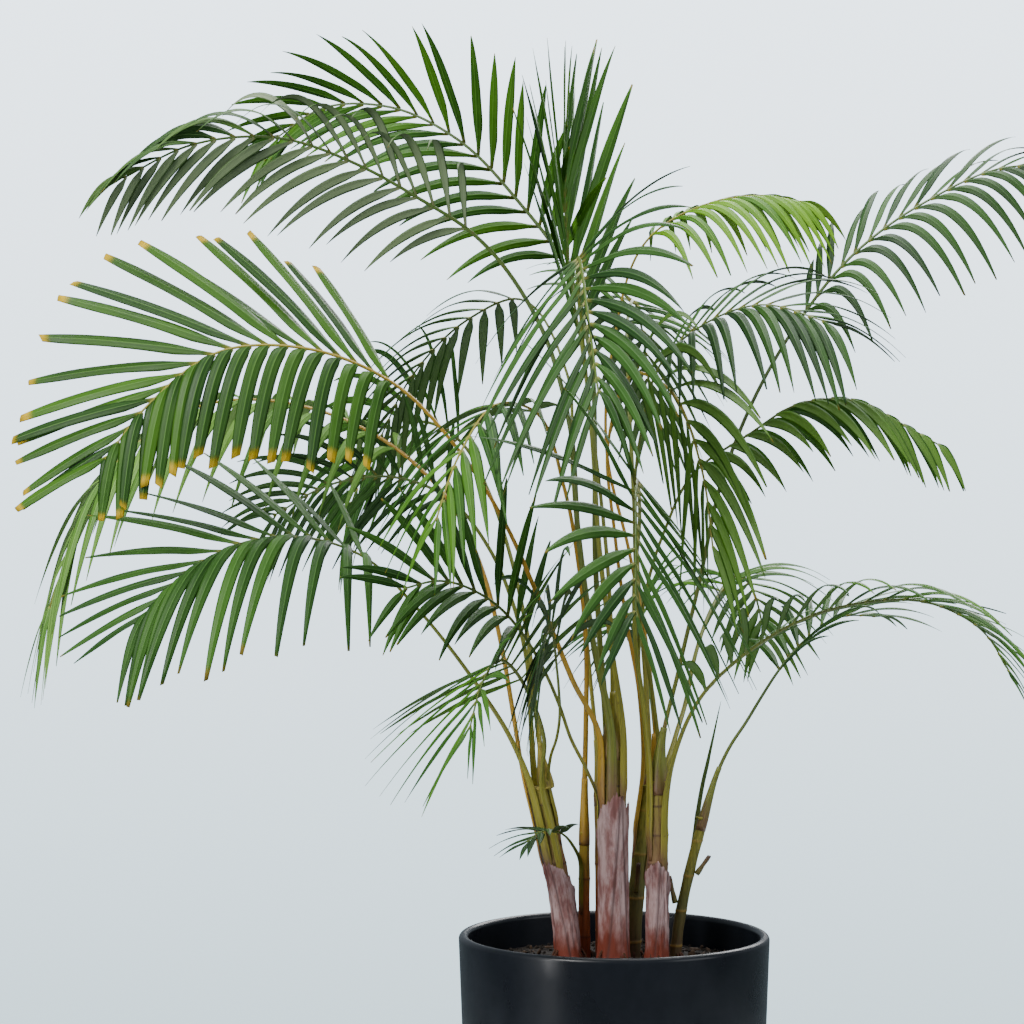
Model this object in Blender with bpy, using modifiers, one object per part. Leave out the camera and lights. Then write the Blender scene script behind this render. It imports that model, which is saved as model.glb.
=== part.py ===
"""A potted areca palm: a clump of canes in a plain round pot, with feather fronds arching from their tops.

Metres, +Z up. The origin is the centre of the pot's underside, and -Y is the plant's front.
"""

import math
import random
from dataclasses import dataclass
from itertools import product

import bmesh
import bpy
from mathutils import Matrix, Vector
from mathutils.bvhtree import BVHTree

# Clearances
GAP = 0.0003  # between two pieces that touch
LEAF_GAP = 0.0006  # least space between a growing leaflet and anything else

# Pot
POT_HEIGHT = 0.290
POT_RIM_RADIUS = 0.160
POT_FOOT_RADIUS = 0.149
POT_WALL = 0.010
POT_FLOOR = 0.014
POT_FOOT_ROUND = 0.010
POT_STEPS = 48

# Soil
SOIL_DROP = 0.028  # from the rim down to the soil
SOIL_FALL = 0.006  # how much lower the soil lies at the wall than among the canes
SOIL_FLAT_RADIUS = 0.095
SOIL_TOP = POT_HEIGHT - SOIL_DROP

# Canes
CANE_DEPTH = 0.060  # how far a cane goes down into the soil
CANE_RINGS = 6  # rings from the soil to the cane's top
CANE_SIDE_FACES = 16
THIN_ROD_SIDE_FACES = 8  # of a stub and of the rolled-up leaf
CANE_LEAN_POWER = 1.4  # a cane starts upright and leans more towards its top

# Leaf sheaths that wrap the canes
SHEATH_THICK = 0.0012
SHEATH_COLUMNS = 12
SHEATH_ROWS = 5
SHEATH_SLANT = 0.22  # share of its height that a sheath loses at its slit
SHEATH_WRAP_FOOT = 300  # degrees of the cane that a sheath covers, at its foot and at its top
SHEATH_WRAP_TOP = 200

# Fronds
CLASP = 0.020  # straight length of a petiole that stands on its cane's top
CLASP_RINGS = 3  # rings along the stretch of a petiole that runs up its cane's side
PETIOLE_RINGS = 5  # rings from the clasp to the first leaflets
RACHIS_TIP_RADIUS = 0.0011
LEAFLET_BASE = 0.006  # length of rachis that one leaflet's foot takes
LEAFLET_RIDGE = 0.0012  # height of the folded midrib above the leaflet's margins
LEAFLET_MIDDLE = 0.45  # share of a leaflet's length at which it is widest
LEAFLET_FIRST = 0.73  # length of the first leaflets of a blade, as a share of its longest
LEAFLET_LAST = 0.50
NARROWEST = 0.55  # width that a leaflet would have at no length, as a share of the frond's leaflet width
ANGLE_SPREAD = 4  # degrees by which leaflets differ in their angle from the rachis, either way
LIFT_SPREAD = 5
LENGTH_SPREAD = (0.93, 1.04)
PROBE_DEPTH = 1e-6  # how far behind a leaflet's face it must still be solid
ROOT_SHARE = 0.35  # share of a leaflet next to its stalk, where it may touch its own frond
NEAR_LEAFLETS = 5  # leaflets before it on its own frond that a new one has to clear
STEM_SHIFT = 0.007  # sideways step that a petiole takes to clear another one
STEM_TRIES = (0, 1, -1, 2, -2, 3, -3, 4, -4, 5, -5, 6, -6)
LEAFLET_TURNS = (0, 8, -8, 16, -16, 24, -24)  # degrees of lift that a crowded leaflet tries
LEAFLET_LENGTHS = (1.0, 0.85, 0.7)
SEED = 7

UP = Vector((0, 0, 1))


def above_soil(point):
    """A point of the plant, whose heights are measured from the soil, in the part's frame."""
    return Vector((point[0], point[1], SOIL_TOP + point[2]))


@dataclass
class Cane:
    """An upright stem: where it leaves the soil, where its top is, and its radius at both.

    All heights are above the soil.
    """

    name: str
    foot: tuple
    top: tuple
    radius: float
    top_radius: float
    colour: tuple
    sheath: float = 0  # height of the papery sheath round it
    sheath_open: float = 0  # direction that the sheath's slit faces, in degrees from +X

    def spine(self):
        """Points up the middle of the cane: straight down in the soil, leaning more and more above it."""
        points = [Vector((*self.foot, SOIL_TOP - CANE_DEPTH))]
        for i in range(CANE_RINGS):
            share = i / (CANE_RINGS - 1)
            lean = share**CANE_LEAN_POWER
            x = self.foot[0] + (self.top[0] - self.foot[0]) * lean
            y = self.foot[1] + (self.top[1] - self.foot[1]) * lean
            points.append(above_soil((x, y, self.top[2] * share)))
        return points

    def at(self, height):
        """Centre of the cane, and the cane's direction, at a height."""
        points = self.spine()
        z = SOIL_TOP + height
        i = 0
        while i < len(points) - 2 and points[i + 1].z < z:
            i += 1
        share = (z - points[i].z) / (points[i + 1].z - points[i].z)
        return points[i].lerp(points[i + 1], share), (points[i + 1] - points[i]).normalized()

    def radius_at(self, height):
        share = min(max(height / self.top[2], 0), 1)
        return self.radius + (self.top_radius - self.radius) * share

    def beside(self, height, degrees, clearance):
        """A point off the cane's skin on one side, the outward direction there and the cane's direction."""
        centre, along = self.at(height)
        outward = Vector((math.cos(math.radians(degrees)), math.sin(math.radians(degrees)), 0))
        outward = (outward - along * outward.dot(along)).normalized()
        return centre + outward * (self.radius_at(height) + clearance), outward, along


@dataclass
class Frond:
    """One leaf. side is where it leaves its cane, in degrees from +X, or None for the cane's top.

    It starts at height on the cane and parts from it at leaves, where 0 means the cane's top.
    petiole and blade are the points that the bare stalk and the leafy part pass through.
    All heights are above the soil.
    leaflet is the length of the longest leaflets, and peak is how far along the blade they are.
    shorter is what the leaflets on the left and the right have of that length.
    spread is the angle from the rachis to a leaflet, at the blade's foot and at its tip.
    droop is how far the leaflets sag, on the left and the right seen from the cane.
    """

    name: str
    cane: str
    side: float
    height: float
    leaves: float
    petiole: tuple
    blade: tuple
    pairs: int
    leaflet: float
    width: float = 0.012
    radius: float = 0.0038
    spread: tuple = (66, 30)
    lift: float = 22
    droop: tuple = (0.35, 0.35)
    roll: float = 0
    colour: tuple = (0.055, 0.16, 0.035)
    peak: float = 0.42
    shorter: tuple = (1, 1)


CANES = [
    Cane("cane_left", (-0.046, 0.002), (-0.078, 0.004, 0.178), 0.0120, 0.0105,
         (0.42, 0.25, 0.22), 0.100, 60),
    Cane("cane_main", (-0.001, -0.012), (-0.001, -0.010, 0.222), 0.0150, 0.0135,
         (0.48, 0.27, 0.27), 0.168, 100),
    Cane("cane_olive", (0.019, 0.024), (0.040, 0.044, 0.175), 0.0090, 0.0085,
         (0.24, 0.24, 0.08)),
    Cane("cane_right", (0.044, -0.006), (0.046, -0.010, 0.186), 0.0110, 0.0100,
         (0.45, 0.22, 0.20), 0.100, 80),
    Cane("cane_far_right", (0.064, 0.018), (0.094, 0.022, 0.144), 0.0058, 0.0050,
         (0.26, 0.28, 0.10)),
    Cane("shoot_front", (-0.030, 0.024), (-0.030, 0.022, 0.130), 0.0062, 0.0055,
         (0.50, 0.24, 0.07)),
    Cane("shoot_back", (-0.012, 0.034), (-0.014, 0.044, 0.168), 0.0056, 0.0052,
         (0.46, 0.27, 0.09)),
]

FRONDS = [
    Frond("frond_left_great", "cane_main", 214, 0.174, 0,
          ((-0.030, -0.040, 0.258), (-0.062, -0.052, 0.338), (-0.137, -0.080, 0.494)),
          ((-0.218, -0.105, 0.587), (-0.308, -0.130, 0.623), (-0.391, -0.150, 0.618),
           (-0.456, -0.162, 0.568), (-0.502, -0.171, 0.508)),
          19, 0.196, 0.0150, 0.0043, (44, 32), 26, (2.20, 0.05), 42, (0.08, 0.19, 0.04), 0.30, (0.66, 1)),
    Frond("frond_front_high", "cane_main", 312, 0.180, 0,
          ((-0.012, -0.034, 0.378), (-0.025, -0.030, 0.557), (-0.036, -0.040, 0.668)),
          ((-0.040, -0.085, 0.713), (-0.038, -0.140, 0.706), (-0.033, -0.205, 0.653),
           (-0.024, -0.270, 0.568)),
          15, 0.190, 0.012, 0.0038, (70, 26), 10, (0.30, 0.30), 0, (0.045, 0.13, 0.06)),
    Frond("frond_front_low", "cane_right", 215, 0.134, 0,
          ((0.019, -0.030, 0.371), (0.024, -0.060, 0.460)),
          ((0.020, -0.105, 0.493), (0.015, -0.165, 0.482), (0.012, -0.230, 0.436), (0.009, -0.290, 0.363)),
          13, 0.215, 0.013, 0.0036, (86, 26), 6, (0.22, 0.14), 0, (0.045, 0.13, 0.045), 0.12),
    Frond("frond_left_middle", "cane_left", 235, 0.110, 0,
          ((-0.158, -0.040, 0.311), (-0.212, -0.062, 0.378)),
          ((-0.245, -0.076, 0.412), (-0.311, -0.100, 0.437), (-0.373, -0.120, 0.431),
           (-0.428, -0.135, 0.399), (-0.465, -0.147, 0.360)),
          14, 0.175, 0.0125, 0.0036, (66, 28), 26, (1.30, 0.06), 42, (0.04, 0.13, 0.035)),
    Frond("frond_left_behind", "cane_left", 170, 0.104, 0,
          ((-0.117, 0.006, 0.330), (-0.159, 0.024, 0.457)),
          ((-0.215, 0.045, 0.520), (-0.304, 0.062, 0.568), (-0.430, 0.075, 0.576),
           (-0.540, 0.075, 0.496), (-0.598, 0.065, 0.348)),
          18, 0.165, 0.012, 0.0040, (60, 30), 16, (1.20, 0.90), 20, (0.11, 0.25, 0.07), 0.75),
    Frond("frond_left_fan", "cane_left", 290, 0.104, 0,
          ((-0.072, -0.026, 0.228),),
          ((-0.094, -0.062, 0.290), (-0.116, -0.120, 0.316), (-0.134, -0.185, 0.297),
           (-0.146, -0.230, 0.254)),
          13, 0.160, 0.009, 0.0030, (82, 26), 16, (0.16, 0.16), 0, (0.05, 0.16, 0.045)),
    Frond("frond_right_low", "cane_right", 300, 0.110, 0.150,
          ((0.060, -0.030, 0.212),),
          ((0.086, -0.045, 0.274), (0.134, -0.060, 0.322), (0.184, -0.072, 0.353), (0.248, -0.086, 0.372),
           (0.309, -0.100, 0.372), (0.359, -0.110, 0.346), (0.390, -0.115, 0.298)),
          20, 0.120, 0.011, 0.0033, (60, 22), 24, (0.10, 0.50), -22, (0.045, 0.15, 0.035)),
    Frond("frond_right_long", "cane_right", None, 0.186, 0,
          ((0.080, -0.004, 0.351), (0.112, 0.008, 0.495), (0.169, 0.020, 0.623)),
          ((0.195, 0.025, 0.663), (0.246, 0.030, 0.726), (0.325, 0.035, 0.785),
           (0.425, 0.040, 0.824), (0.510, 0.045, 0.804)),
          19, 0.120, 0.011, 0.0036, (40, 20), 18, (0.30, 1.10), -25, (0.05, 0.16, 0.04)),
    Frond("frond_right_arched", "cane_right", 150, 0.128, 0,
          ((0.027, -0.020, 0.351), (0.051, -0.030, 0.443)),
          ((0.078, -0.042, 0.499), (0.134, -0.060, 0.540), (0.183, -0.080, 0.570),
           (0.235, -0.092, 0.573), (0.283, -0.100, 0.549), (0.325, -0.108, 0.524)),
          15, 0.100, 0.011, 0.0034, (50, 22), 20, (0.45, 0.80), -20, (0.07, 0.20, 0.04)),
    Frond("frond_top_left", "cane_main", 112, 0.172, 0,
          ((-0.018, 0.012, 0.378), (-0.020, 0.030, 0.558), (-0.030, 0.044, 0.668)),
          ((-0.050, 0.052, 0.722), (-0.098, 0.062, 0.789), (-0.162, 0.074, 0.856), (-0.236, 0.088, 0.893),
           (-0.306, 0.095, 0.893), (-0.362, 0.100, 0.858)),
          20, 0.148, 0.013, 0.0038, (68, 20), 44, (0.30, 0.12), 26, (0.07, 0.20, 0.04), 0.15),
    Frond("frond_upper_left", "cane_main", 262, 0.177, 0,
          ((-0.032, -0.028, 0.378), (-0.052, -0.020, 0.578), (-0.092, -0.021, 0.683)),
          ((-0.145, -0.028, 0.746), (-0.202, -0.040, 0.782), (-0.260, -0.050, 0.813), (-0.340, -0.060, 0.839),
           (-0.426, -0.070, 0.831), (-0.500, -0.080, 0.793)),
          20, 0.122, 0.011, 0.0038, (49, 27), 12, (0.66, 0.30), 10, (0.05, 0.15, 0.04)),
    Frond("frond_crown", "cane_main", None, 0.201, 0,
          ((-0.004, 0.000, 0.378), (-0.020, 0.014, 0.538)),
          ((-0.034, 0.020, 0.641), (-0.045, 0.018, 0.713), (-0.050, 0.010, 0.773), (-0.050, 0.002, 0.826)),
          12, 0.235, 0.014, 0.0038, (44, 12), 12, (0.05, 0.05), 10, (0.07, 0.20, 0.04), 0.3),
    Frond("frond_upper_right", "cane_olive", None, 0.175, 0,
          ((0.030, 0.044, 0.358), (-0.008, 0.034, 0.558), (0.010, 0.032, 0.678)),
          ((0.036, 0.038, 0.746), (0.101, 0.050, 0.786), (0.158, 0.055, 0.795), (0.205, 0.060, 0.788)),
          13, 0.120, 0.010, 0.0034, (56, 22), 10, (0.7, 1.0), -10, (0.16, 0.32, 0.06)),
    Frond("frond_far_right", "cane_far_right", None, 0.144, 0,
          ((0.115, 0.030, 0.205), (0.144, 0.045, 0.248)),
          ((0.172, 0.060, 0.290), (0.205, 0.078, 0.326), (0.245, 0.095, 0.350), (0.290, 0.115, 0.350)),
          9, 0.115, 0.010, 0.0028, (60, 28), 24, (0.30, 0.30), 0, (0.07, 0.20, 0.05)),
    Frond("frond_centre_right", "cane_olive", 330, 0.110, 0,
          ((0.026, 0.006, 0.358), (0.026, -0.012, 0.538)),
          ((0.050, -0.040, 0.619), (0.080, -0.062, 0.646), (0.143, -0.100, 0.668), (0.207, -0.130, 0.648)),
          13, 0.150, 0.011, 0.0035, (62, 28), 14, (0.45, 0.70), -20, (0.045, 0.14, 0.05)),
    Frond("frond_centre_left", "shoot_back", None, 0.168, 0,
          ((-0.030, 0.044, 0.358), (-0.045, 0.040, 0.538), (-0.060, 0.052, 0.653)),
          ((-0.097, 0.080, 0.688), (-0.150, 0.110, 0.670), (-0.215, 0.130, 0.606), (-0.250, 0.142, 0.538)),
          13, 0.140, 0.011, 0.0034, (62, 28), 14, (0.55, 0.45), 0, (0.05, 0.15, 0.045)),
    Frond("frond_left_feathery", "cane_left", 100, 0.118, 0,
          ((-0.090, 0.040, 0.308), (-0.128, 0.056, 0.422)),
          ((-0.170, 0.064, 0.475), (-0.224, 0.080, 0.498), (-0.300, 0.100, 0.491), (-0.364, 0.110, 0.456)),
          16, 0.120, 0.008, 0.0032, (62, 30), 24, (0.45, 0.35), 10, (0.03, 0.10, 0.035)),
    Frond("frond_left_rising", "cane_main", 167, 0.140, 0.163,
          ((-0.042, -0.018, 0.223), (-0.060, -0.026, 0.274)),
          ((-0.087, -0.045, 0.328), (-0.127, -0.080, 0.374), (-0.176, -0.115, 0.394),
           (-0.215, -0.140, 0.386)),
          11, 0.140, 0.011, 0.0032, (60, 26), 26, (0.25, 0.12), 15, (0.04, 0.13, 0.035)),
    Frond("frond_inner_right", "cane_olive", 200, 0.130, 0,
          ((-0.002, 0.010, 0.413), (-0.012, -0.010, 0.538)),
          ((0.009, -0.055, 0.600), (0.046, -0.120, 0.580), (0.072, -0.170, 0.503), (0.082, -0.195, 0.418)),
          12, 0.150, 0.011, 0.0034, (60, 28), 8, (0.70, 0.70), 0, (0.05, 0.17, 0.045)),
    Frond("frond_inner_left", "shoot_front", None, 0.130, 0,
          ((-0.032, 0.000, 0.371), (-0.054, -0.030, 0.495)),
          ((-0.078, -0.060, 0.560), (-0.117, -0.105, 0.570), (-0.156, -0.160, 0.518),
           (-0.180, -0.190, 0.448)),
          12, 0.140, 0.011, 0.0034, (60, 28), 10, (0.60, 0.60), 0, (0.035, 0.12, 0.04)),
    Frond("frond_shoot_low", "shoot_front", 240, 0.074, 0.094,
          ((-0.041, 0.000, 0.116),),
          ((-0.053, -0.016, 0.132), (-0.073, -0.037, 0.138), (-0.091, -0.056, 0.128)),
          6, 0.055, 0.009, 0.0020, (62, 30), 16, (0.20, 0.20), 0, (0.03, 0.12, 0.035)),
    Frond("frond_back_high", "cane_olive", 110, 0.126, 0,
          ((0.030, 0.070, 0.358), (0.022, 0.095, 0.538)),
          ((0.020, 0.150, 0.663), (0.030, 0.220, 0.698), (0.045, 0.300, 0.663), (0.058, 0.365, 0.578)),
          15, 0.160, 0.011, 0.0036, (64, 28), 16, (0.45, 0.45), 0, (0.045, 0.14, 0.04)),
    Frond("frond_back_left", "cane_left", 45, 0.130, 0,
          ((-0.090, 0.070, 0.338), (-0.120, 0.120, 0.458)),
          ((-0.160, 0.175, 0.538), (-0.215, 0.245, 0.563), (-0.270, 0.310, 0.518), (-0.300, 0.350, 0.448)),
          14, 0.150, 0.011, 0.0035, (64, 28), 18, (0.45, 0.45), 0, (0.05, 0.15, 0.04)),
    Frond("frond_back_right", "cane_right", 60, 0.122, 0,
          ((0.074, 0.050, 0.248), (0.094, 0.095, 0.323)),
          ((0.120, 0.150, 0.373), (0.145, 0.210, 0.393), (0.170, 0.270, 0.368), (0.185, 0.310, 0.318)),
          12, 0.130, 0.011, 0.0034, (64, 28), 18, (0.45, 0.45), 0, (0.05, 0.15, 0.04)),
    Frond("frond_back_low", "cane_olive", 55, 0.104, 0,
          ((0.046, 0.090, 0.238), (0.040, 0.140, 0.298)),
          ((0.034, 0.190, 0.338), (0.030, 0.245, 0.350), (0.025, 0.300, 0.318)),
          10, 0.130, 0.010, 0.0030, (64, 28), 18, (0.35, 0.35), 0, (0.05, 0.16, 0.045)),
    Frond("frond_left_inner", "cane_left", 340, 0.146, 0,
          ((-0.057, -0.046, 0.250),),
          ((-0.061, -0.080, 0.312), (-0.066, -0.112, 0.345), (-0.072, -0.150, 0.342),
           (-0.077, -0.185, 0.305)),
          12, 0.125, 0.010, 0.0028, (72, 28), 8, (0.55, 0.55), 0, (0.035, 0.12, 0.035)),
]

# Stubs of cut petioles: the cane, the side it faces in degrees from +X, its height above the soil
# and its length
STUBS = [
    ("stub_far_right_low", "cane_far_right", 175, 0.056, 0.026),
    ("stub_far_right_high", "cane_far_right", 350, 0.090, 0.020),
    ("stub_olive", "cane_olive", 265, 0.068, 0.030),
]
STUB_RADIUS = 0.0026
STUB_LEAN = 22  # degrees

# The closed young leaf that stands beside the far right cane, with its heights above the soil
SPEAR_CANE = "cane_far_right"
SPEAR_SIDE = 100  # degrees from +X
SPEAR_FOOT = 0.090
SPEAR_POINTS = ((0.092, 0.036, 0.168), (0.103, 0.034, 0.218), (0.113, 0.030, 0.266))
SPEAR_RADIUS = 0.0026
SPEAR_TIP = 0.15  # radius of its tip, as a share of the radius at its foot
SPEAR_RINGS = 10


# Scene and materials


def clear_scene():
    for old in list(bpy.data.objects):
        bpy.data.objects.remove(old, do_unlink=True)


def new_collection(name):
    collection = bpy.data.collections.new(name)
    bpy.context.scene.collection.children.link(collection)
    return collection


def material(name, colour, roughness):
    made = bpy.data.materials.new(name)
    made.use_nodes = True
    shader = made.node_tree.nodes["Principled BSDF"]
    shader.inputs["Base Color"].default_value = (*colour, 1)
    shader.inputs["Roughness"].default_value = roughness
    shader.inputs["Metallic"].default_value = 0
    return made


def new_object(name, data, collection, look=None):
    made = bpy.data.objects.new(name, data)
    collection.objects.link(made)
    if look:
        data.materials.append(look)
    return made


def smooth(obj, angle=40):
    obj.data.shade_smooth()
    obj.data.set_sharp_from_angle(angle=math.radians(angle))


# Curves


def slopes_at(points):
    """Direction of a smooth curve at each of its points, leaning towards its nearer neighbour's."""
    spans = [(b - a).length for a, b in zip(points, points[1:])]
    straight = [(b - a) / span for a, b, span in zip(points, points[1:], spans)]
    slopes = [straight[0]]
    for i in range(1, len(points) - 1):
        slopes.append((straight[i - 1] * spans[i] + straight[i] * spans[i - 1]) / (spans[i - 1] + spans[i]))
    return slopes + [straight[-1]]


def cubic(start, start_slope, end, end_slope, t):
    """Point at t on the cubic between two points with these slopes."""
    rise = start + start_slope * t
    bend = (end - start) * 3 - start_slope * 2 - end_slope
    turn = (start - end) * 2 + start_slope + end_slope
    return rise + bend * t**2 + turn * t**3


class Path:
    """A smooth curve through some points, read by the distance along it."""

    SAMPLES = 24  # samples between two points

    def __init__(self, points):
        slopes = slopes_at(points)
        self.line = []
        for i in range(len(points) - 1):
            span = (points[i + 1] - points[i]).length
            for step in range(self.SAMPLES):
                ends = (points[i], slopes[i] * span, points[i + 1], slopes[i + 1] * span)
                self.line.append(cubic(*ends, step / self.SAMPLES))
        self.line.append(points[-1])
        self.along = [0.0]
        for a, b in zip(self.line, self.line[1:]):
            self.along.append(self.along[-1] + (b - a).length)
        self.length = self.along[-1]

    def distance_of(self, point_index):
        return self.along[point_index * self.SAMPLES]

    def at(self, distance):
        distance = min(max(distance, 0), self.length)
        i = 0
        while i < len(self.along) - 2 and self.along[i + 1] < distance:
            i += 1
        share = (distance - self.along[i]) / (self.along[i + 1] - self.along[i])
        return self.line[i].lerp(self.line[i + 1], share)

    def direction(self, distance):
        step = 0.004
        return (self.at(distance + step) - self.at(distance - step)).normalized()


def frames_along(path, distances, first_up):
    """(point, along, up) at each distance, turning no more than the curve does."""
    frames = []
    up = first_up
    before = path.direction(distances[0])
    for distance in distances:
        along = path.direction(distance)
        up = before.rotation_difference(along) @ up
        up = (up - along * up.dot(along)).normalized()
        frames.append((path.at(distance), along, up))
        before = along
    return frames


def tube_curve(name, points, radii, side_faces):
    """A curve with a round section whose radius changes from point to point."""
    data = bpy.data.curves.new(name, "CURVE")
    data.dimensions = "3D"
    data.bevel_depth = 1
    data.bevel_resolution = side_faces // 2 - 2
    data.use_fill_caps = True
    spline = data.splines.new("POLY")
    spline.points.add(len(points) - 1)
    for target, point, radius in zip(spline.points, points, radii):
        target.co = (*point, 1)
        target.radius = radius
    return data


def mesh_from_curve(name, data, collection):
    """A mesh object with the curve's shape and welded caps. The curve is removed."""
    guide = new_object(name + "_guide", data, collection)
    bpy.context.view_layer.update()
    evaluated = guide.evaluated_get(bpy.context.evaluated_depsgraph_get())
    mesh = bpy.data.meshes.new_from_object(evaluated)
    shape = bmesh.new()
    shape.from_mesh(mesh)
    bmesh.ops.remove_doubles(shape, verts=shape.verts, dist=1e-6)
    bmesh.ops.recalc_face_normals(shape, faces=shape.faces)
    shape.to_mesh(mesh)
    shape.free()
    mesh.name = name
    bpy.data.objects.remove(guide, do_unlink=True)
    return new_object(name, mesh, collection)


# Pot and soil


def arc(centre, radius, start, end, steps):
    """Points of an arc in the profile's plane, from one angle to another in degrees."""
    points = []
    for i in range(steps + 1):
        angle = math.radians(start + (end - start) * i / steps)
        points.append((centre[0] + radius * math.cos(angle), centre[1] + radius * math.sin(angle)))
    return points


def pot_radius(height):
    """Outer radius of the tapered wall."""
    return POT_FOOT_RADIUS + (POT_RIM_RADIUS - POT_FOOT_RADIUS) * height / POT_HEIGHT


def turned(name, profile, collection, look):
    """A solid turned round Z from a profile of (radius, height) points that starts and ends on the axis."""
    mesh = bpy.data.meshes.new(name)
    edges = [(i, i + 1) for i in range(len(profile) - 1)]
    mesh.from_pydata([(r, 0, z) for r, z in profile], edges, [])
    made = new_object(name, mesh, collection, look)
    screw = made.modifiers.new("Screw", "SCREW")
    screw.steps = POT_STEPS
    screw.render_steps = POT_STEPS
    screw.use_merge_vertices = True
    screw.merge_threshold = 0.0001
    screw.use_smooth_shade = True
    return made


def build_pot(collection):
    half_wall = POT_WALL / 2
    rim_centre = (POT_RIM_RADIUS - half_wall, POT_HEIGHT - half_wall)
    foot_centre = (pot_radius(POT_FOOT_ROUND) - POT_FOOT_ROUND, POT_FOOT_ROUND)
    inside_floor = pot_radius(POT_FLOOR) - POT_WALL
    profile = [(0, POT_FLOOR), (inside_floor, POT_FLOOR)]
    profile += arc(rim_centre, half_wall, 180, 0, 6)
    profile += arc(foot_centre, POT_FOOT_ROUND, 0, -90, 4)
    profile += [(0, 0)]
    return turned("pot", profile, collection, material("black_glaze", (0.012, 0.014, 0.018), 0.35))


def build_soil(collection, canes, cutter_collection):
    """Soil that fills the pot to below its rim, with a socket for each cane."""
    bottom = POT_FLOOR + GAP
    wall_top = SOIL_TOP - SOIL_FALL
    profile = [
        (0, SOIL_TOP),
        (SOIL_FLAT_RADIUS, SOIL_TOP),
        (pot_radius(wall_top) - POT_WALL - 2 * GAP, wall_top),
        (pot_radius(bottom) - POT_WALL - 2 * GAP, bottom),
        (0, bottom),
    ]
    soil = turned("soil", profile, collection, material("potting_mix", (0.02, 0.014, 0.010), 0.95))
    for cane in canes:
        cut = soil.modifiers.new("Socket for " + cane.name, "BOOLEAN")
        cut.object = socket_cutter(cane, cutter_collection)
        cut.operation = "DIFFERENCE"
        cut.solver = "EXACT"
    return soil


# Canes and what is on them


def build_cane(cane, collection):
    points = cane.spine()
    radii = [cane.radius_at(point.z - SOIL_TOP) for point in points]
    data = tube_curve(cane.name, points, radii, CANE_SIDE_FACES)
    made = mesh_from_curve(cane.name, data, collection)
    made.data.materials.append(material(cane.name + "_skin", cane.colour, 0.6))
    smooth(made)
    return made


def socket_cutter(cane, collection):
    bottom = Vector((*cane.foot, SOIL_TOP - CANE_DEPTH - GAP))
    top = Vector((*cane.foot, SOIL_TOP + CANE_DEPTH))
    data = tube_curve("socket", [bottom, top], [cane.radius + GAP] * 2, CANE_SIDE_FACES)
    made = mesh_from_curve("socket_" + cane.name, data, collection)
    made.hide_render = True
    made.display_type = "WIRE"
    return made


def build_sheath(cane, collection):
    """A papery leaf base: an open shell round the cane, with a slit that widens upwards."""
    shape = bmesh.new()
    bmesh.ops.create_grid(shape, x_segments=SHEATH_COLUMNS, y_segments=SHEATH_ROWS, size=1)
    facet = SHEATH_WRAP_FOOT / SHEATH_COLUMNS
    for vert in shape.verts:
        share = (vert.co.y + 1) / 2
        wrap = SHEATH_WRAP_FOOT + (SHEATH_WRAP_TOP - SHEATH_WRAP_FOOT) * share
        turn = cane.sheath_open + 180 + vert.co.x * wrap / 2
        rise = cane.sheath * share * (1 - SHEATH_SLANT * abs(vert.co.x))
        clearance = (cane.radius + GAP) / math.cos(math.radians(facet / 2)) - cane.radius
        vert.co = cane.beside(rise, turn, clearance)[0]
        vert.co.z = max(vert.co.z, SOIL_TOP + 2 * GAP)
    mesh = bpy.data.meshes.new(cane.name + "_sheath")
    shape.to_mesh(mesh)
    shape.free()
    made = new_object(cane.name + "_sheath", mesh, collection, material(mesh.name, cane.colour, 0.8))
    shell = made.modifiers.new("Thickness", "SOLIDIFY")
    shell.thickness = SHEATH_THICK
    shell.offset = 1
    smooth(made)
    return made


def build_stub(stub, canes, collection):
    name, cane_name, side, height, length = stub
    foot, outward, along = canes[cane_name].beside(height, side, GAP + STUB_RADIUS)
    lean = (along + outward * math.tan(math.radians(STUB_LEAN))).normalized()
    data = tube_curve(name, [foot, foot + lean * length], [STUB_RADIUS] * 2, THIN_ROD_SIDE_FACES)
    made = mesh_from_curve(name, data, collection)
    made.data.materials.append(material(name + "_skin", (0.30, 0.26, 0.12), 0.7))
    smooth(made)
    return made


def build_spear(cane, collection):
    """The youngest leaf, still rolled up into a rod that tapers to a point."""
    foot, _, along = cane.beside(SPEAR_FOOT, SPEAR_SIDE, GAP + SPEAR_RADIUS)
    path = Path([foot, foot + along * CLASP] + [above_soil(point) for point in SPEAR_POINTS])
    shares = [i / (SPEAR_RINGS - 1) for i in range(SPEAR_RINGS)]
    points = [path.at(path.length * share) for share in shares]
    radii = [SPEAR_RADIUS * (1 - (1 - SPEAR_TIP) * share**2) for share in shares]
    data = tube_curve("spear", points, radii, THIN_ROD_SIDE_FACES)
    made = mesh_from_curve("spear_leaf", data, collection)
    made.data.materials.append(material("spear_skin", (0.09, 0.20, 0.06), 0.5))
    smooth(made)
    return made


# Growing fronds


class Solid:
    """Faces to test against others, with the box that holds them."""

    def __init__(self, points, faces):
        self.points = points
        self.faces = faces
        self.tree = BVHTree.FromPolygons(points, faces)
        self.low = [min(p[i] for p in points) for i in range(3)]
        self.high = [max(p[i] for p in points) for i in range(3)]

    def touches(self, other):
        if any(self.low[i] > other.high[i] or other.low[i] > self.high[i] for i in range(3)):
            return False
        return bool(self.tree.overlap(other.tree))


def solid_of(obj):
    """The evaluated shape of an object that stands at the origin."""
    bpy.context.view_layer.update()
    evaluated = obj.evaluated_get(bpy.context.evaluated_depsgraph_get())
    mesh = evaluated.to_mesh()
    points = [vertex.co.copy() for vertex in mesh.vertices]
    faces = [tuple(polygon.vertices) for polygon in mesh.polygons]
    evaluated.to_mesh_clear()
    return Solid(points, faces)


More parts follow.
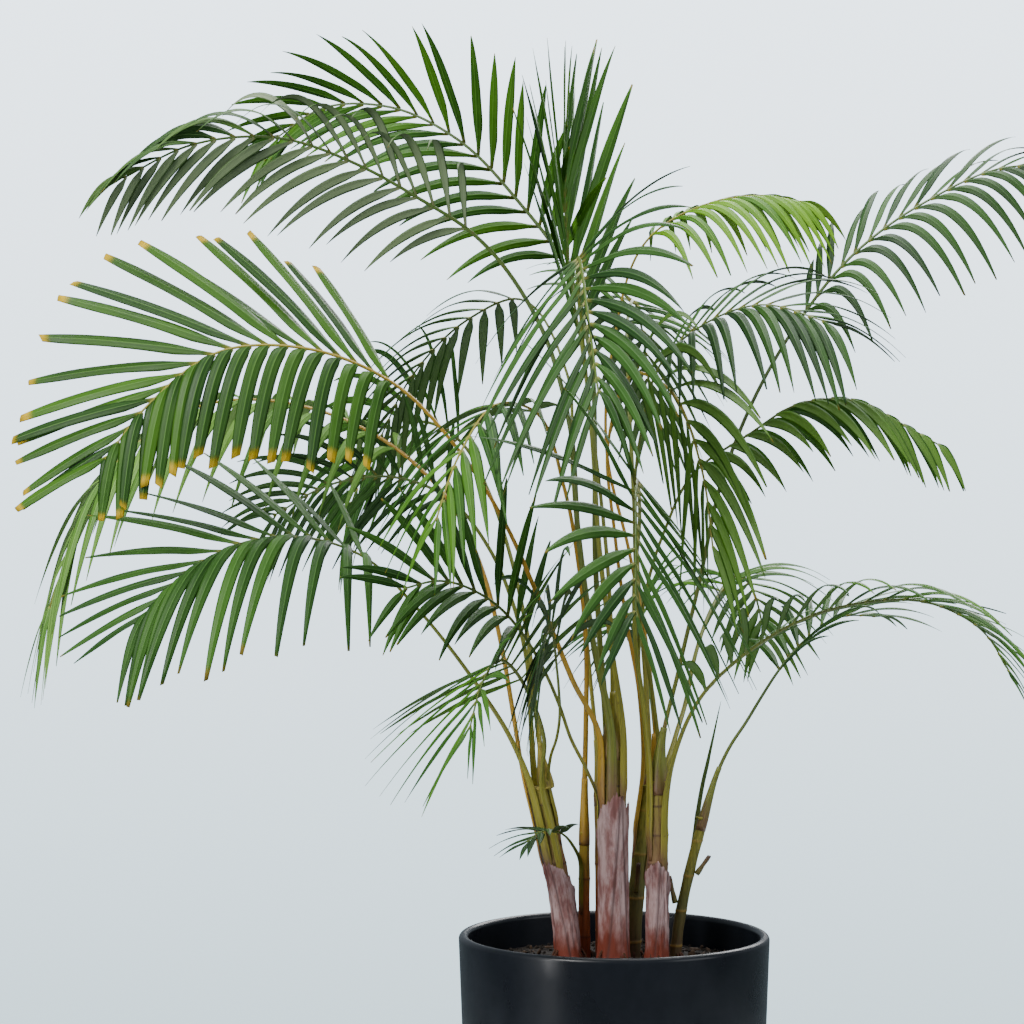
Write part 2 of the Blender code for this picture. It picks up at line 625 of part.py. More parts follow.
def joined(solids):
    points, faces = [], []
    for solid in solids:
        faces += [tuple(index + len(points) for index in face) for face in solid.faces]
        points += solid.points
    return Solid(points, faces)


def section(frame, radius):
    """The left, right and keel corners of a stalk, whose flat face looks along up."""
    point, along, up = frame
    side = along.cross(up)
    half_width = radius * math.sqrt(3) / 2
    flat = point + up * radius / 2
    return [flat - side * half_width, flat + side * half_width, point - up * radius]


class Stem:
    """The stalk of a frond, from its foot on the cane to its tip, as rings of three corners."""

    def __init__(self, frond, cane, shift):
        top = cane.top[2]
        if frond.side is None:
            centre, along = cane.at(top)
            clasp = [centre + along * GAP, centre + along * (GAP + CLASP)]
            first_up = -self.heading(frond, centre)
        else:
            off_skin = GAP + frond.radius / 2
            rise = (frond.leaves or top) - frond.height
            heights = [frond.height + rise * i / CLASP_RINGS for i in range(CLASP_RINGS + 1)]
            clasp = [cane.beside(height, frond.side, off_skin)[0] for height in heights]
            first_up = -cane.beside(frond.height, frond.side, off_skin)[1]
        heading = self.heading(frond, clasp[0])
        sideways = Vector((-heading.y, heading.x, 0)) * shift
        free = [above_soil(point) + sideways for point in frond.petiole + frond.blade]
        self.path = Path(clasp + free)
        clasp_end = self.path.distance_of(len(clasp) - 1)
        self.blade_start = self.path.distance_of(len(clasp) + len(frond.petiole))
        self.pitch = (self.path.length - self.blade_start) / frond.pairs
        distances = [self.path.distance_of(i) for i in range(len(clasp) - 1)]
        free_length = self.blade_start - clasp_end
        distances += [clasp_end + free_length * i / PETIOLE_RINGS for i in range(PETIOLE_RINGS)]
        self.feet = []
        for pair in range(frond.pairs):
            middle = self.blade_start + self.pitch * (pair + 0.5)
            self.feet.append(len(distances))
            distances += [middle - LEAFLET_BASE / 2, middle + LEAFLET_BASE / 2]
        self.distances = distances
        self.frames = self.rolled(frames_along(self.path, distances, first_up), frond.roll)
        self.radii = [self.radius_at(d, frond.radius) for d in distances]

    def heading(self, frond, foot):
        """Level direction from the foot towards the frond's tip."""
        reach = Vector(frond.blade[-1]) - foot
        return Vector((reach.x, reach.y, 0)).normalized()

    def rolled(self, frames, roll):
        """The frames with the blade's roll added smoothly from the foot of the stalk to the blade."""
        turned_frames = []
        for distance, (point, along, up) in zip(self.distances, frames):
            share = min(distance / self.blade_start, 1)
            angle = math.radians(roll) * share**2 * (3 - 2 * share)
            turned_frames.append((point, along, Matrix.Rotation(-angle, 3, along) @ up))
        return turned_frames

    def radius_at(self, distance, foot_radius):
        share = distance / self.path.length
        return foot_radius + (RACHIS_TIP_RADIUS - foot_radius) * share**1.2

    def rings(self, extra=0):
        return [section(frame, radius + extra) for frame, radius in zip(self.frames, self.radii)]

    def solid(self, extra=0):
        points = [corner for ring in self.rings(extra) for corner in ring]
        faces = [(0, 1, 2), (len(points) - 1, len(points) - 2, len(points) - 3)]
        for i in range(len(self.frames) - 1):
            for a, b in ((0, 1), (1, 2), (2, 0)):
                faces.append((3 * i + a, 3 * i + b, 3 * i + 3 + b, 3 * i + 3 + a))
        return Solid(points, faces)


def grow_stem(frond, cane, cane_solid, others):
    """The stem nearest to its design that clears its cane and everything else."""
    for step in STEM_TRIES:
        stem = Stem(frond, cane, step * STEM_SHIFT)
        wide = stem.solid(LEAF_GAP)
        if not stem.solid().touches(cane_solid) and not any(wide.touches(other) for other in others):
            return stem
    raise ValueError(frond.name + " has no free way out of its cane")


def leaflet_swell(place, peak):
    """Length of a leaflet at a share of the blade, where the longest, at the peak, have 1."""
    if place < peak:
        return 1 - (1 - LEAFLET_FIRST) * ((peak - place) / peak) ** 2
    return 1 - (1 - LEAFLET_LAST) * ((place - peak) / (1 - peak)) ** 2


# Corners 0 to 3 are the leaflet's foot, 4 to 6 its middle and 7 its tip
LEAFLET_FACES = [(0, 1, 4), (4, 6, 7), (6, 5, 7), (5, 4, 7)]
LEAFLET_SIDES = [(1, 2, 6, 4), (2, 3, 5, 6), (3, 0, 4, 5)]
LEAFLET_FOOT = [(0, 3, 2), (0, 2, 1)]


def leaflet_faces(diagonals):
    """Triangles of a leaflet, whose three four-cornered sides are cut along one diagonal or the other."""
    faces = list(LEAFLET_FACES)
    for (a, b, c, d), diagonal in zip(LEAFLET_SIDES, diagonals):
        faces += [(a, b, c), (a, c, d)] if diagonal else [(a, b, d), (b, c, d)]
    return faces


def seen_angle(a, b, c):
    """Solid angle of a triangle seen from the origin."""
    lengths = a.length, b.length, c.length
    below = lengths[0] * lengths[1] * lengths[2]
    below += a.dot(b) * lengths[2] + b.dot(c) * lengths[0] + c.dot(a) * lengths[1]
    return 2 * math.atan2(a.dot(b.cross(c)), below)


def folds_over(points, faces):
    """Whether a closed blade passes through itself, so that some face has the open air right behind it."""
    corners = [[points[index] for index in face] for face in faces]
    volume = sum(a.dot(b.cross(c)) for a, b, c in corners)
    outward = 1 if volume > 0 else -1
    for a, b, c in corners:
        normal = (b - a).cross(c - a).normalized() * outward
        probe = (a + b + c) / 3 - normal * PROBE_DEPTH
        wound = sum(seen_angle(*(point - probe for point in face)) for face in corners) * outward
        if wound < math.tau:
            return True
    return False


class Leaflet:
    """One leaflet: a folded blade from four corners on the stalk, through its widest part, to a point."""

    def __init__(self, frond, stem, pair, side, turn, length_share, jitter):
        ring = stem.feet[pair]
        place = (pair + 0.5) / frond.pairs
        near, far = stem.rings()[ring], stem.rings()[ring + 1]
        self.edge = 0 if side < 0 else 1
        self.foot = [near[self.edge], far[self.edge], far[2], near[2]]
        _, along, up = stem.frames[ring]
        out = along.cross(up) * side
        spread = math.radians(frond.spread[0] + (frond.spread[1] - frond.spread[0]) * place + jitter[0])
        lift = math.radians(frond.lift + turn + jitter[1])
        aim = along * math.cos(spread) + (out * math.cos(lift) + up * math.sin(lift)) * math.sin(spread)
        swell = leaflet_swell(place, frond.peak)
        own_length = frond.leaflet * frond.shorter[0 if side < 0 else 1]
        self.length = own_length * swell * length_share * jitter[2]
        self.droop = frond.droop[0 if side < 0 else 1]
        start = sum(self.foot, Vector()) / 4
        arc_length = self.sagging(aim, 1)[1]
        middle = start + self.sagging(aim, LEAFLET_MIDDLE)[0] * self.length / arc_length
        self.tip = start + self.sagging(aim, 1)[0] * self.length / arc_length
        lengthwise = (self.tip - start).normalized()
        across = (along - lengthwise * along.dot(lengthwise)).normalized()
        ridge = lengthwise.cross(across) * side
        half = frond.width / 2 * (NARROWEST + (1 - NARROWEST) * swell)
        self.middle = [middle + ridge * LEAFLET_RIDGE, middle - across * half, middle + across * half]
        self.spreading = [ridge, -across, across]
        self.lengthwise = lengthwise
        self.faces = self.sound_faces()

    def sagging(self, aim, share):
        """Where a leaflet of length 1 is at a share of its length, and how long its line is up to there."""
        steps = 8
        points = [aim * t - UP * self.droop * t * t for t in (share * i / steps for i in range(steps + 1))]
        return points[-1], sum((b - a).length for a, b in zip(points, points[1:]))

    def sound_faces(self):
        """The first way to cut the sides into triangles that leaves the blade right side out, or None."""
        points = self.foot + self.middle + [self.tip]
        for diagonals in product((True, False), repeat=len(LEAFLET_SIDES)):
            faces = leaflet_faces(diagonals)
            if not folds_over(points, faces + LEAFLET_FOOT):
                return faces
        return None

    def solid(self, extra=0, skipped=0):
        """The leaflet's faces, made thicker by extra and starting some way out from the stalk."""
        middle = [point + away * extra for point, away in zip(self.middle, self.spreading)]
        towards = [middle[0], middle[0], middle[2], middle[1]]
        foot = [corner.lerp(target, skipped) for corner, target in zip(self.foot, towards)]
        points = foot + middle + [self.tip + self.lengthwise * extra]
        return Solid(points, self.faces + LEAFLET_FOOT)


def grow_leaflets(frond, stem, others, chance):
    """Leaflets in pairs up the blade. One that finds no free place is left out."""
    own_stem = stem.solid()
    leaflets = []
    for pair in range(frond.pairs):
        for side in (-1, 1):
            jitter = (
                chance.uniform(-ANGLE_SPREAD, ANGLE_SPREAD),
                chance.uniform(-LIFT_SPREAD, LIFT_SPREAD),
                chance.uniform(*LENGTH_SPREAD),
            )
            tries = [(turn, share) for share in LEAFLET_LENGTHS for turn in LEAFLET_TURNS]
            for turn, share in tries:
                leaflet = Leaflet(frond, stem, pair, side, turn, share, jitter)
                if leaflet.faces is None:
                    continue
                whole = leaflet.solid(LEAF_GAP)
                outer = leaflet.solid(LEAF_GAP, ROOT_SHARE)
                near = leaflets[-NEAR_LEAFLETS:]
                if outer.touches(own_stem) or any(outer.touches(one[2]) for one in near):
                    continue
                if any(whole.touches(other) for other in others):
                    continue
                leaflets.append((stem.feet[pair], leaflet, leaflet.solid()))
                break
    return leaflets


def frond_mesh(name, stem, leaflets):
    """One closed body: the stalk with each leaflet drawn out of the side of it."""
    shape = bmesh.new()
    rings = [[shape.verts.new(corner) for corner in ring] for ring in stem.rings()]
    taken = {(ring, leaflet.edge) for ring, leaflet, _ in leaflets}
    shape.faces.new(rings[0])
    shape.faces.new(reversed(rings[-1]))
    for i in range(len(rings) - 1):
        for a, b in ((0, 1), (1, 2), (2, 0)):
            hosts_left = (a, b) == (2, 0) and (i, 0) in taken
            hosts_right = (a, b) == (1, 2) and (i, 1) in taken
            if not hosts_left and not hosts_right:
                shape.faces.new((rings[i][a], rings[i][b], rings[i + 1][b], rings[i + 1][a]))
    for ring, leaflet, _ in leaflets:
        edge = leaflet.edge
        corners = [rings[ring][edge], rings[ring + 1][edge], rings[ring + 1][2], rings[ring][2]]
        corners += [shape.verts.new(point) for point in leaflet.middle + [leaflet.tip]]
        for face in leaflet.faces:
            shape.faces.new([corners[index] for index in face])
    bmesh.ops.recalc_face_normals(shape, faces=shape.faces)
    bmesh.ops.triangulate(shape, faces=shape.faces)
    mesh = bpy.data.meshes.new(name)
    shape.to_mesh(mesh)
    shape.free()
    return mesh


def build_fronds(canes, built, collection):
    """All stalks first, so that they keep their places, and then the leaflets of one frond after another."""
    chance = random.Random(SEED)
    standing = {name: solid_of(obj) for name, obj in built.items()}
    stems = []
    for frond in FRONDS:
        others = [solid for name, solid in standing.items() if name != frond.cane]
        others += [stem.solid() for stem in stems]
        stems.append(grow_stem(frond, canes[frond.cane], standing[frond.cane], others))
    fixed = list(standing.values())
    grown = []
    for number, (frond, stem) in enumerate(zip(FRONDS, stems)):
        rest = [other.solid() for other in stems[:number] + stems[number + 1 :]]
        leaflets = grow_leaflets(frond, stem, fixed + rest + grown, chance)
        look = material(frond.name + "_green", frond.colour, 0.5)
        new_object(frond.name, frond_mesh(frond.name, stem, leaflets), collection, look)
        if leaflets:
            grown.append(joined([solid for _, _, solid in leaflets]))


def main():
    clear_scene()
    plant = new_collection("potted_palm")
    helpers = new_collection("cutters")
    canes = {cane.name: cane for cane in CANES}
    built = {"pot": build_pot(plant), "soil": build_soil(plant, CANES, helpers)}
    for cane in CANES:
        built[cane.name] = build_cane(cane, plant)
        if cane.sheath:
            built[cane.name + "_sheath"] = build_sheath(cane, plant)
    for stub in STUBS:
        built[stub[0]] = build_stub(stub, canes, plant)
    built["spear_leaf"] = build_spear(canes[SPEAR_CANE], plant)
    build_fronds(canes, built, plant)


main()
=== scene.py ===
"""Looks of the potted areca palm: leaves, stalks, canes, papery sheaths, soil and pot.

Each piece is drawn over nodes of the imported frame, which give it its place and size.
"""

import math
import random
from dataclasses import dataclass
from itertools import combinations

import bmesh
import bpy
from mathutils import Matrix, Vector, noise


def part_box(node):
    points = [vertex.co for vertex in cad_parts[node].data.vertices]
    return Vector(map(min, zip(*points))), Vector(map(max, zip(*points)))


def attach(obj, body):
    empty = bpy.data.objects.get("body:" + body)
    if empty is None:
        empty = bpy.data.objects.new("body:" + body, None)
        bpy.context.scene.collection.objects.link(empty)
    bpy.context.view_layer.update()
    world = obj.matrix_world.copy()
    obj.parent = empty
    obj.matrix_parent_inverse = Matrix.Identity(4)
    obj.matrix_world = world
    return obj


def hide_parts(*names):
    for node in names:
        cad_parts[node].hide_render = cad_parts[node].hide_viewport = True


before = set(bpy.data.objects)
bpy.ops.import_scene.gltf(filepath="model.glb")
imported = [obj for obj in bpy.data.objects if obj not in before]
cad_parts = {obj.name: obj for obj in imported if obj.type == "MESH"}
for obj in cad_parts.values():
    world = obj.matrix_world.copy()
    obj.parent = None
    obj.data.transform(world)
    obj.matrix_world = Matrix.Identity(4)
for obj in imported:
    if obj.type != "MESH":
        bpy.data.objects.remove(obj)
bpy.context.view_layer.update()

UP = Vector((0, 0, 1))
WELD = 1e-5  # the frame's faces have their own corners, which are welded this close
LOW_MARGIN = 1e-4  # a level cut keeps this far above a node's lower end
HIGH_MARGIN = 1e-3  # and this far below its upper end
SEED = 11
chance = random.Random(SEED)

# Camera
CAMERA_PLACE = (-0.105, -2.74, 0.724)
CAMERA_LENS = 93.45
CAMERA_SENSOR = 36

# Studio
WORLD_LIGHT = 0.24  # strength of the surrounding light
WORLD_SEEN = 1.95  # strength of the plain background behind the plant
WORLD_LOW = (0.58, 0.76, 0.84, 1)
WORLD_HIGH = (1.50, 1.72, 1.92, 1)
WORLD_SPREAD = (-0.20, 0.24)  # how steeply down and up one looks where these two colours are reached
PLANT_MIDDLE = (0, 0, 0.7)
POT_MIDDLE = (0, 0, 0.25)
FLOOR_RADIUS = 1.0
FLOOR_SOLID = 0.45  # radius up to which the floor doesn't fade

# Reading a frond of the frame
SHORTEST_TIP_EDGE = 0.008  # a leaflet's tip has no shorter edge
CAP_EVENNESS = 1.06  # longest side over shortest side of the triangle that ends a stalk

# Leaflets
LEAFLET_ROWS = 17
LEAFLET_ROW_BIAS = 0.92  # below 1 moves a leaflet's rows towards its tip
LEAFLET_MIDDLE = 0.45  # share of a leaflet's length at which the frame gives its middle
LEAFLET_COLUMNS = (-1, -0.72, -0.52, -0.32, -0.09, 0, 0.09, 0.32, 0.52, 0.72, 1)
LEAFLET_UNDER_COLUMNS = (0.55, 0, -0.55)
LEAF_ROUGHNESS = 0.42
LEAF_THICK = 0.0004
LEAF_FOOT_THICK = 3.2  # times as thick at its foot
LEAF_TIP_THICK = 0.6
LEAF_FOLD_FOOT = 0.62  # how steeply the two halves of a blade fall away from its midrib
LEAF_FOLD_MIDDLE = 0.20
LEAF_FOLD_TIP = 0.10  # more than in the middle
LEAF_WAVE = 0.045  # how far the blade's edges wave, as a share of its half width
MIDRIB_RISE = 0.00045
MIDRIB_HALF = 0.07  # half width of a rib, as a share of the blade's half width
UNDER_RIB_RISE = 0.00018
SIDE_RIB_RISE = 0.00016
SIDE_RIB_HALF = 0.09
SIDE_RIB_PLACE = 0.52

# Stalks
STALK_SIDES = 14
STALK_STEP = 0.007
STALK_WIDTH = 0.90  # half width of a stalk as a share of the frame's radius
STALK_DEPTH = 0.80
CLASP_REACH = 0.030  # how far a leaf base runs down its cane below the frame's stalk
CLASP_DROPS = (0.35, 1.0)  # shares of that reach at which the leaf base has a point
CLASP_WIDTH = 1.55  # how many times wider a leaf base is than its stalk
CLASP_DEPTH = 0.55
CLASP_CURL = 0.036  # twice the radius that a leaf base curls to
CLASP_BELOW = 0.02  # the clasp loosens from this far below the cane's top
CLASP_ABOVE = 0.03  # to this far above it
ON_TOP = 0.002  # a stalk that starts this close below a cane's top grows out of it
CROWNSHAFT_ROWS = 14
CROWNSHAFT_SIDES = 28
CROWNSHAFT_REACH = 0.055  # up the stalk
CROWNSHAFT_OVERLAP = 0.014  # down the cane
CROWNSHAFT_GIRTH = 1.05  # times the cane's and the stalk's radius

# Canes
CANE_SIDES = 36
CANE_ROW = 0.0011
CANE_BURIED = 0.012  # the drawn cane ends this far below the soil's top
CANE_SLIM = 0.985  # share of the frame's radius between two leaf scars
CANE_SWELL = 0.025  # how much a cane swells towards a leaf scar, as a share of its radius
CANE_RUFFLE = 0.0007
SCAR_RISE = 0.0004
SCAR_HALF = 0.0011
SCAR_DARK = 0.8
FIRST_SCAR = 0.35  # height of the lowest leaf scar, as a share of the distance between two
FOOT_SWELL = 0.16
FOOT_FADE = 0.010  # height over which the swelling at the foot fades
TIP_REACH = 0.045
TIP_LEAN = Vector((-0.16, 0.01, 1))
TIP_ROWS = 12
TIP_POINT = 0.0006
ROOTS = 900  # for each metre of a cane's radius
ROOT_SIDES = 7
ROOT_ROWS = 6
ROOT_DEPTH = 0.006
ROOT_READ = 0.005  # height over the soil at which the cane's radius is read
ROOT_CANE = 0.011  # radius of a cane whose roots start at the heights that are drawn by chance

# Papery sheaths
SHEATH_COLUMNS = 84
SHEATH_ROWS = 56
SHEATH_SKINS = (0.00095, 0.00045)  # how far the outer and the inner skin stand off the cane
SHEATH_FOOT_WRAP = 345  # degrees
SHEATH_TOP_WRAP = 235
SHEATH_OVERTOP = 1.03  # height of the middle of the sheath as a share of the frame's
SHEATH_CUT = 0.26  # how much lower its two edges end
CREASE_RISE = 0.0013
CREASE_HALF = 0.035
PAINTED_SHADE_SHIFT = 0.075  # from a crease to the painted shade in the valley beside it
# half width of that band of painted shade
PAINTED_SHADE_HALF = 0.03

# Stubs and spear leaf
STUB_SIDES = 14
STUB_ROWS = 12
STUB_SUNK = 0.004  # how far a stub starts inside its cane
STUB_INSET = 0.003  # from a node's ends to where its axis is read
STUB_FOOT_RADIUS = 0.0031
STUB_HEAD_RADIUS = 0.0021
STUB_SPLIT = 0.0022
SPEAR_SIDES = 20
SPEAR_ROWS = 60
SPEAR_RADIUS = 0.0027
SPEAR_POINT = 0.0002
SPEAR_TURNS = 1.6

# Soil
SOIL_SPOKES = 144
SOIL_RINGS = 40
SOIL_BUMP = 0.0022
SOIL_FALL = 0.0055  # how much lower the soil lies at the pot's wall
SOIL_GAP = 0.0006  # between the soil and the pot
SOIL_EDGE = 0.004  # below the soil's top, where the pot's radius is read
SOIL_BASE_EDGE = 0.002  # above the soil's base, where its radius is read

# Pot
POT_SPOKES = 160
POT_WALL = 0.010
POT_FOOT_ROUND = 0.010
POT_FLOOR_ROUND = 0.006
POT_AXIS = 0.0001  # radius at which the pot's skin closes over its axis


# Camera, stage and light


def build_camera():
    data = bpy.data.cameras.new("camera")
    data.sensor_width = CAMERA_SENSOR
    data.lens = CAMERA_LENS
    camera = bpy.data.objects.new("camera", data)
    camera.location = CAMERA_PLACE
    camera.rotation_euler = (math.radians(90), 0, 0)
    bpy.context.scene.collection.objects.link(camera)
    bpy.context.scene.camera = camera


def soft_light(name, place, target, width, height, power, colour=(1, 1, 1)):
    data = bpy.data.lights.new(name, "AREA")
    data.shape = "RECTANGLE"
    data.size = width
    data.size_y = height
    data.energy = power
    data.color = colour
    lamp = bpy.data.objects.new(name, data)
    lamp.location = place
    lamp.rotation_euler = (Vector(target) - Vector(place)).to_track_quat("-Z", "Y").to_euler()
    bpy.context.scene.collection.objects.link(lamp)


def build_lights():
    soft_light("key", (-2.0, -2.4, 2.9), PLANT_MIDDLE, 1.5, 1.5, 150, (1.0, 0.99, 0.96))
    soft_light("overhead", (0.2, 0.3, 3.2), PLANT_MIDDLE, 2.2, 2.2, 120)
    soft_light("fill", (2.6, -1.6, 1.5), PLANT_MIDDLE, 1.6, 1.6, 30, (0.95, 0.98, 1.0))
    soft_light("strip", (-1.75, -1.55, 0.55), POT_MIDDLE, 0.20, 1.4, 20)
    soft_light("back", (0.9, 2.5, 2.2), PLANT_MIDDLE, 1.8, 1.4, 70)


def build_world():
    """A weak light all round, and a brighter plain background that only the camera sees."""
    world = bpy.data.worlds.new("studio")
    bpy.context.scene.world = world
    world.use_nodes = True
    tree = world.node_tree
    background = tree.nodes["Background"]
    direction = tree.nodes.new("ShaderNodeTexCoord")
    parts = tree.nodes.new("ShaderNodeSeparateXYZ")
    tree.links.new(direction.outputs["Generated"], parts.inputs[0])
    spread = tree.nodes.new("ShaderNodeMapRange")
    spread.inputs["From Min"].default_value = WORLD_SPREAD[0]
    spread.inputs["From Max"].default_value = WORLD_SPREAD[1]
    tree.links.new(parts.outputs["Z"], spread.inputs["Value"])
    shade = tree.nodes.new("ShaderNodeValToRGB")
    shade.color_ramp.elements[0].color = WORLD_LOW
    shade.color_ramp.elements[1].color = WORLD_HIGH
    tree.links.new(spread.outputs[0], shade.inputs[0])
    tree.links.new(shade.outputs[0], background.inputs["Color"])
    seen = tree.nodes.new("ShaderNodeLightPath")
    strength = tree.nodes.new("ShaderNodeMapRange")
    strength.inputs["To Min"].default_value = WORLD_LIGHT
    strength.inputs["To Max"].default_value = WORLD_SEEN
    tree.links.new(seen.outputs["Is Camera Ray"], strength.inputs["Value"])
    tree.links.new(strength.outputs[0], background.inputs["Strength"])


# Materials


class Paint:
    """A Principled material in the making, with short names for the nodes that it needs."""

    def __init__(self, name, roughness, specular):
        self.material = bpy.data.materials.new(name)
        self.material.use_nodes = True
        self.tree = self.material.node_tree
        self.shader = self.tree.nodes["Principled BSDF"]
        self.shader.inputs["Roughness"].default_value = roughness
        self.shader.inputs["Specular IOR Level"].default_value = specular

    def node(self, kind, inputs=None, **settings):
        made = self.tree.nodes.new("ShaderNode" + kind)
        for key, value in settings.items():
            setattr(made, key, value)
        for key, value in (inputs or {}).items():
            if isinstance(value, bpy.types.NodeSocket):
                self.tree.links.new(value, made.inputs[key])
            else:
                made.inputs[key].default_value = value
        return made

    def place(self):
        """Sockets of the numbers across, along and luck that each point carries."""
        carried = self.node("Attribute", attribute_name="place")
        return self.node("SeparateXYZ", {0: carried.outputs["Vector"]}).outputs

    def under(self):
        """Socket of the number under that each point carries."""
        return self.node("Attribute", attribute_name="under").outputs["Fac"]

    def math(self, operation, a, b=0.0):
        return self.node("Math", {0: a, 1: b}, operation=operation).outputs[0]

    def stirred(self, value, by, share):
        """A value pushed down and up by another one that lies round 0.5."""
        push = self.math("MULTIPLY", self.math("SUBTRACT", by, 0.5), share)
        return self.math("ADD", value, push)

    def noise(self, vector, scale, detail, roughness):
        inputs = {"Vector": vector, "Scale": scale, "Detail": detail, "Roughness": roughness}
        return self.node("TexNoise", inputs).outputs["Fac"]

    def grain(self, scale, detail=3.0, roughness=0.5, rise=1.0):
        """Noise all over a piece. A rise below 1 draws it out upright."""
        source = self.node("TexCoord").outputs["Object"]
        vector = self.node("Mapping", {"Vector": source, "Scale": (1, 1, rise)}).outputs[0]
        return self.noise(vector, scale, detail, roughness)

    def streaks(self, fineness, change, scale, detail, roughness=0.5):
        """Noise in streaks along a leaf or stalk: how fine they are across it and how they change along it."""
        across, along, luck = self.place()
        across = self.math("MULTIPLY", across, fineness)
        along = self.math("MULTIPLY", along, change)
        vector = self.node("CombineXYZ", {0: across, 1: along, 2: luck}).outputs[0]
        return self.noise(vector, scale, detail, roughness)

    def ramp(self, factor, stops):
        made = self.node("ValToRGB", {0: factor})
        elements = made.color_ramp.elements
        while len(elements) < len(stops):
            elements.new(0.5)
        for element, (position, colour) in zip(elements, stops):
            element.position = position
            element.color = (*colour, 1)
        return made.outputs[0]

    def span(self, value, low, high, to_low=0.0, to_high=1.0):
        inputs = {"Value": value, "From Min": low, "From Max": high, "To Min": to_low, "To Max": to_high}
        return self.node("MapRange", inputs, interpolation_type="SMOOTHSTEP").outputs[0]

    def mix(self, factor, a, b):
        made = self.node("Mix", {0: factor}, data_type="RGBA")
        for key, value in {6: a, 7: b}.items():
            if isinstance(value, bpy.types.NodeSocket):
                self.tree.links.new(value, made.inputs[key])
            else:
                made.inputs[key].default_value = (*value, 1)
        return made.outputs[2]

    def bump(self, height, strength, distance):
        inputs = {"Height": height, "Strength": strength, "Distance": distance}
        made = self.node("Bump", inputs)
        self.tree.links.new(made.outputs[0], self.shader.inputs["Normal"])

    def finish(self, colour, roughness=None):
        self.tree.links.new(colour, self.shader.inputs["Base Color"])
        if roughness is not None:
            self.tree.links.new(roughness, self.shader.inputs["Roughness"])
        return self.material


def darker(colour, share):
    return tuple(share * part for part in colour)


def leaf_material(name, dark, bright, under, tip, tip_start):
    """A leaf blade: fine veins along it, a pale midrib, a lighter underside and a tip of its own colour."""
    paint = Paint(name, LEAF_ROUGHNESS, 0.22)
    across, along, luck = paint.place()
    streak = paint.streaks(9.0, 1.2, 3.0, 4.0, 0.6)
    patch = paint.grain(22.0)
    tone = paint.math("ADD", paint.math("MULTIPLY", streak, 0.55), paint.math("MULTIPLY", patch, 0.45))
    tone = paint.stirred(tone, luck, 0.45)
    face = paint.ramp(paint.span(tone, 0.25, 0.80), [(0, dark), (1, bright)])
    pale = tuple(min(1, 1.5 * part + 0.03) for part in bright)
    offset = paint.math("ABSOLUTE", across)
    face = paint.mix(paint.span(offset, 0.03, 0.11, 0.55, 0.0), face, pale)
    from_side_rib = paint.math("ABSOLUTE", paint.math("SUBTRACT", offset, SIDE_RIB_PLACE))
    face = paint.mix(paint.span(from_side_rib, 0.0, 0.07, 0.22, 0.0), face, pale)
    face = paint.mix(paint.span(along, 0.0, 0.07, 0.75, 0.0), face, (0.30, 0.27, 0.06))
    face = paint.mix(paint.under(), face, paint.mix(0.65, face, under))
    ragged = paint.stirred(paint.stirred(along, streak, 0.10), luck, 0.05)
    face = paint.mix(paint.span(ragged, tip_start, min(tip_start + 0.05, 1.0)), face, tip)
    face = paint.mix(paint.span(ragged, min(tip_start + 0.05, 0.985), 1.03), face, darker(tip, 0.55))
    paint.bump(paint.streaks(26.0, 1.0, 2.0, 2.0), 0.16, 0.0005)
    gloss = paint.span(patch, 0.3, 0.7, LEAF_ROUGHNESS - 0.02, LEAF_ROUGHNESS + 0.12)
    return paint.finish(face, gloss)


def stalk_material(name, foot, middle, tip):
    """A petiole and its rachis: long fibres, small brown flecks and a colour that changes from foot to tip."""
    paint = Paint(name, 0.45, 0.45)
    _, along, _ = paint.place()
    fibre = paint.streaks(5.0, 4.0, 3.0, 4.0, 0.6)
    shift = paint.stirred(along, fibre, 0.16)
    colour = paint.ramp(shift, [(0.0, foot), (0.42, middle), (0.85, tip)])
    colour = paint.mix(paint.span(fibre, 0.46, 0.66, 0.0, 0.60), colour, darker(middle, 0.35))
    rise = paint.stirred(along, paint.grain(55.0, 4.0, 0.6, 0.3), 0.12)
    colour = paint.mix(paint.span(rise, 0.015, 0.085, 0.85, 0.0), colour, (0.17, 0.075, 0.045))
    flecks = paint.grain(420.0, 2.0, rise=0.35)
    colour = paint.mix(paint.span(flecks, 0.62, 0.72, 0.0, 0.5), colour, (0.10, 0.045, 0.012))
    paint.bump(fibre, 0.3, 0.0008)
    return paint.finish(colour)


def cane_material(name, foot, middle, top, scar):
    """A cane: blotched bands from foot to top, upright fibres and leaf scars of their own colour."""
    paint = Paint(name, 0.6, 0.35)
    _, along, _ = paint.place()
    blotch = paint.grain(60.0, 5.0, 0.6, 0.4)
    fibre = paint.grain(420.0, 4.0, 0.65, 0.06)
    shift = paint.stirred(along, blotch, 0.45)
    colour = paint.ramp(shift, [(0.05, foot), (0.42, middle), (0.95, top)])
    colour = paint.mix(paint.span(fibre, 0.42, 0.68, 0.0, 0.6), colour, darker(middle, 0.42))
    colour = paint.mix(paint.under(), colour, scar)
    relief = paint.math("ADD", fibre, paint.math("MULTIPLY", blotch, 0.5))
    paint.bump(relief, 0.5, 0.0012)
    return paint.finish(colour)


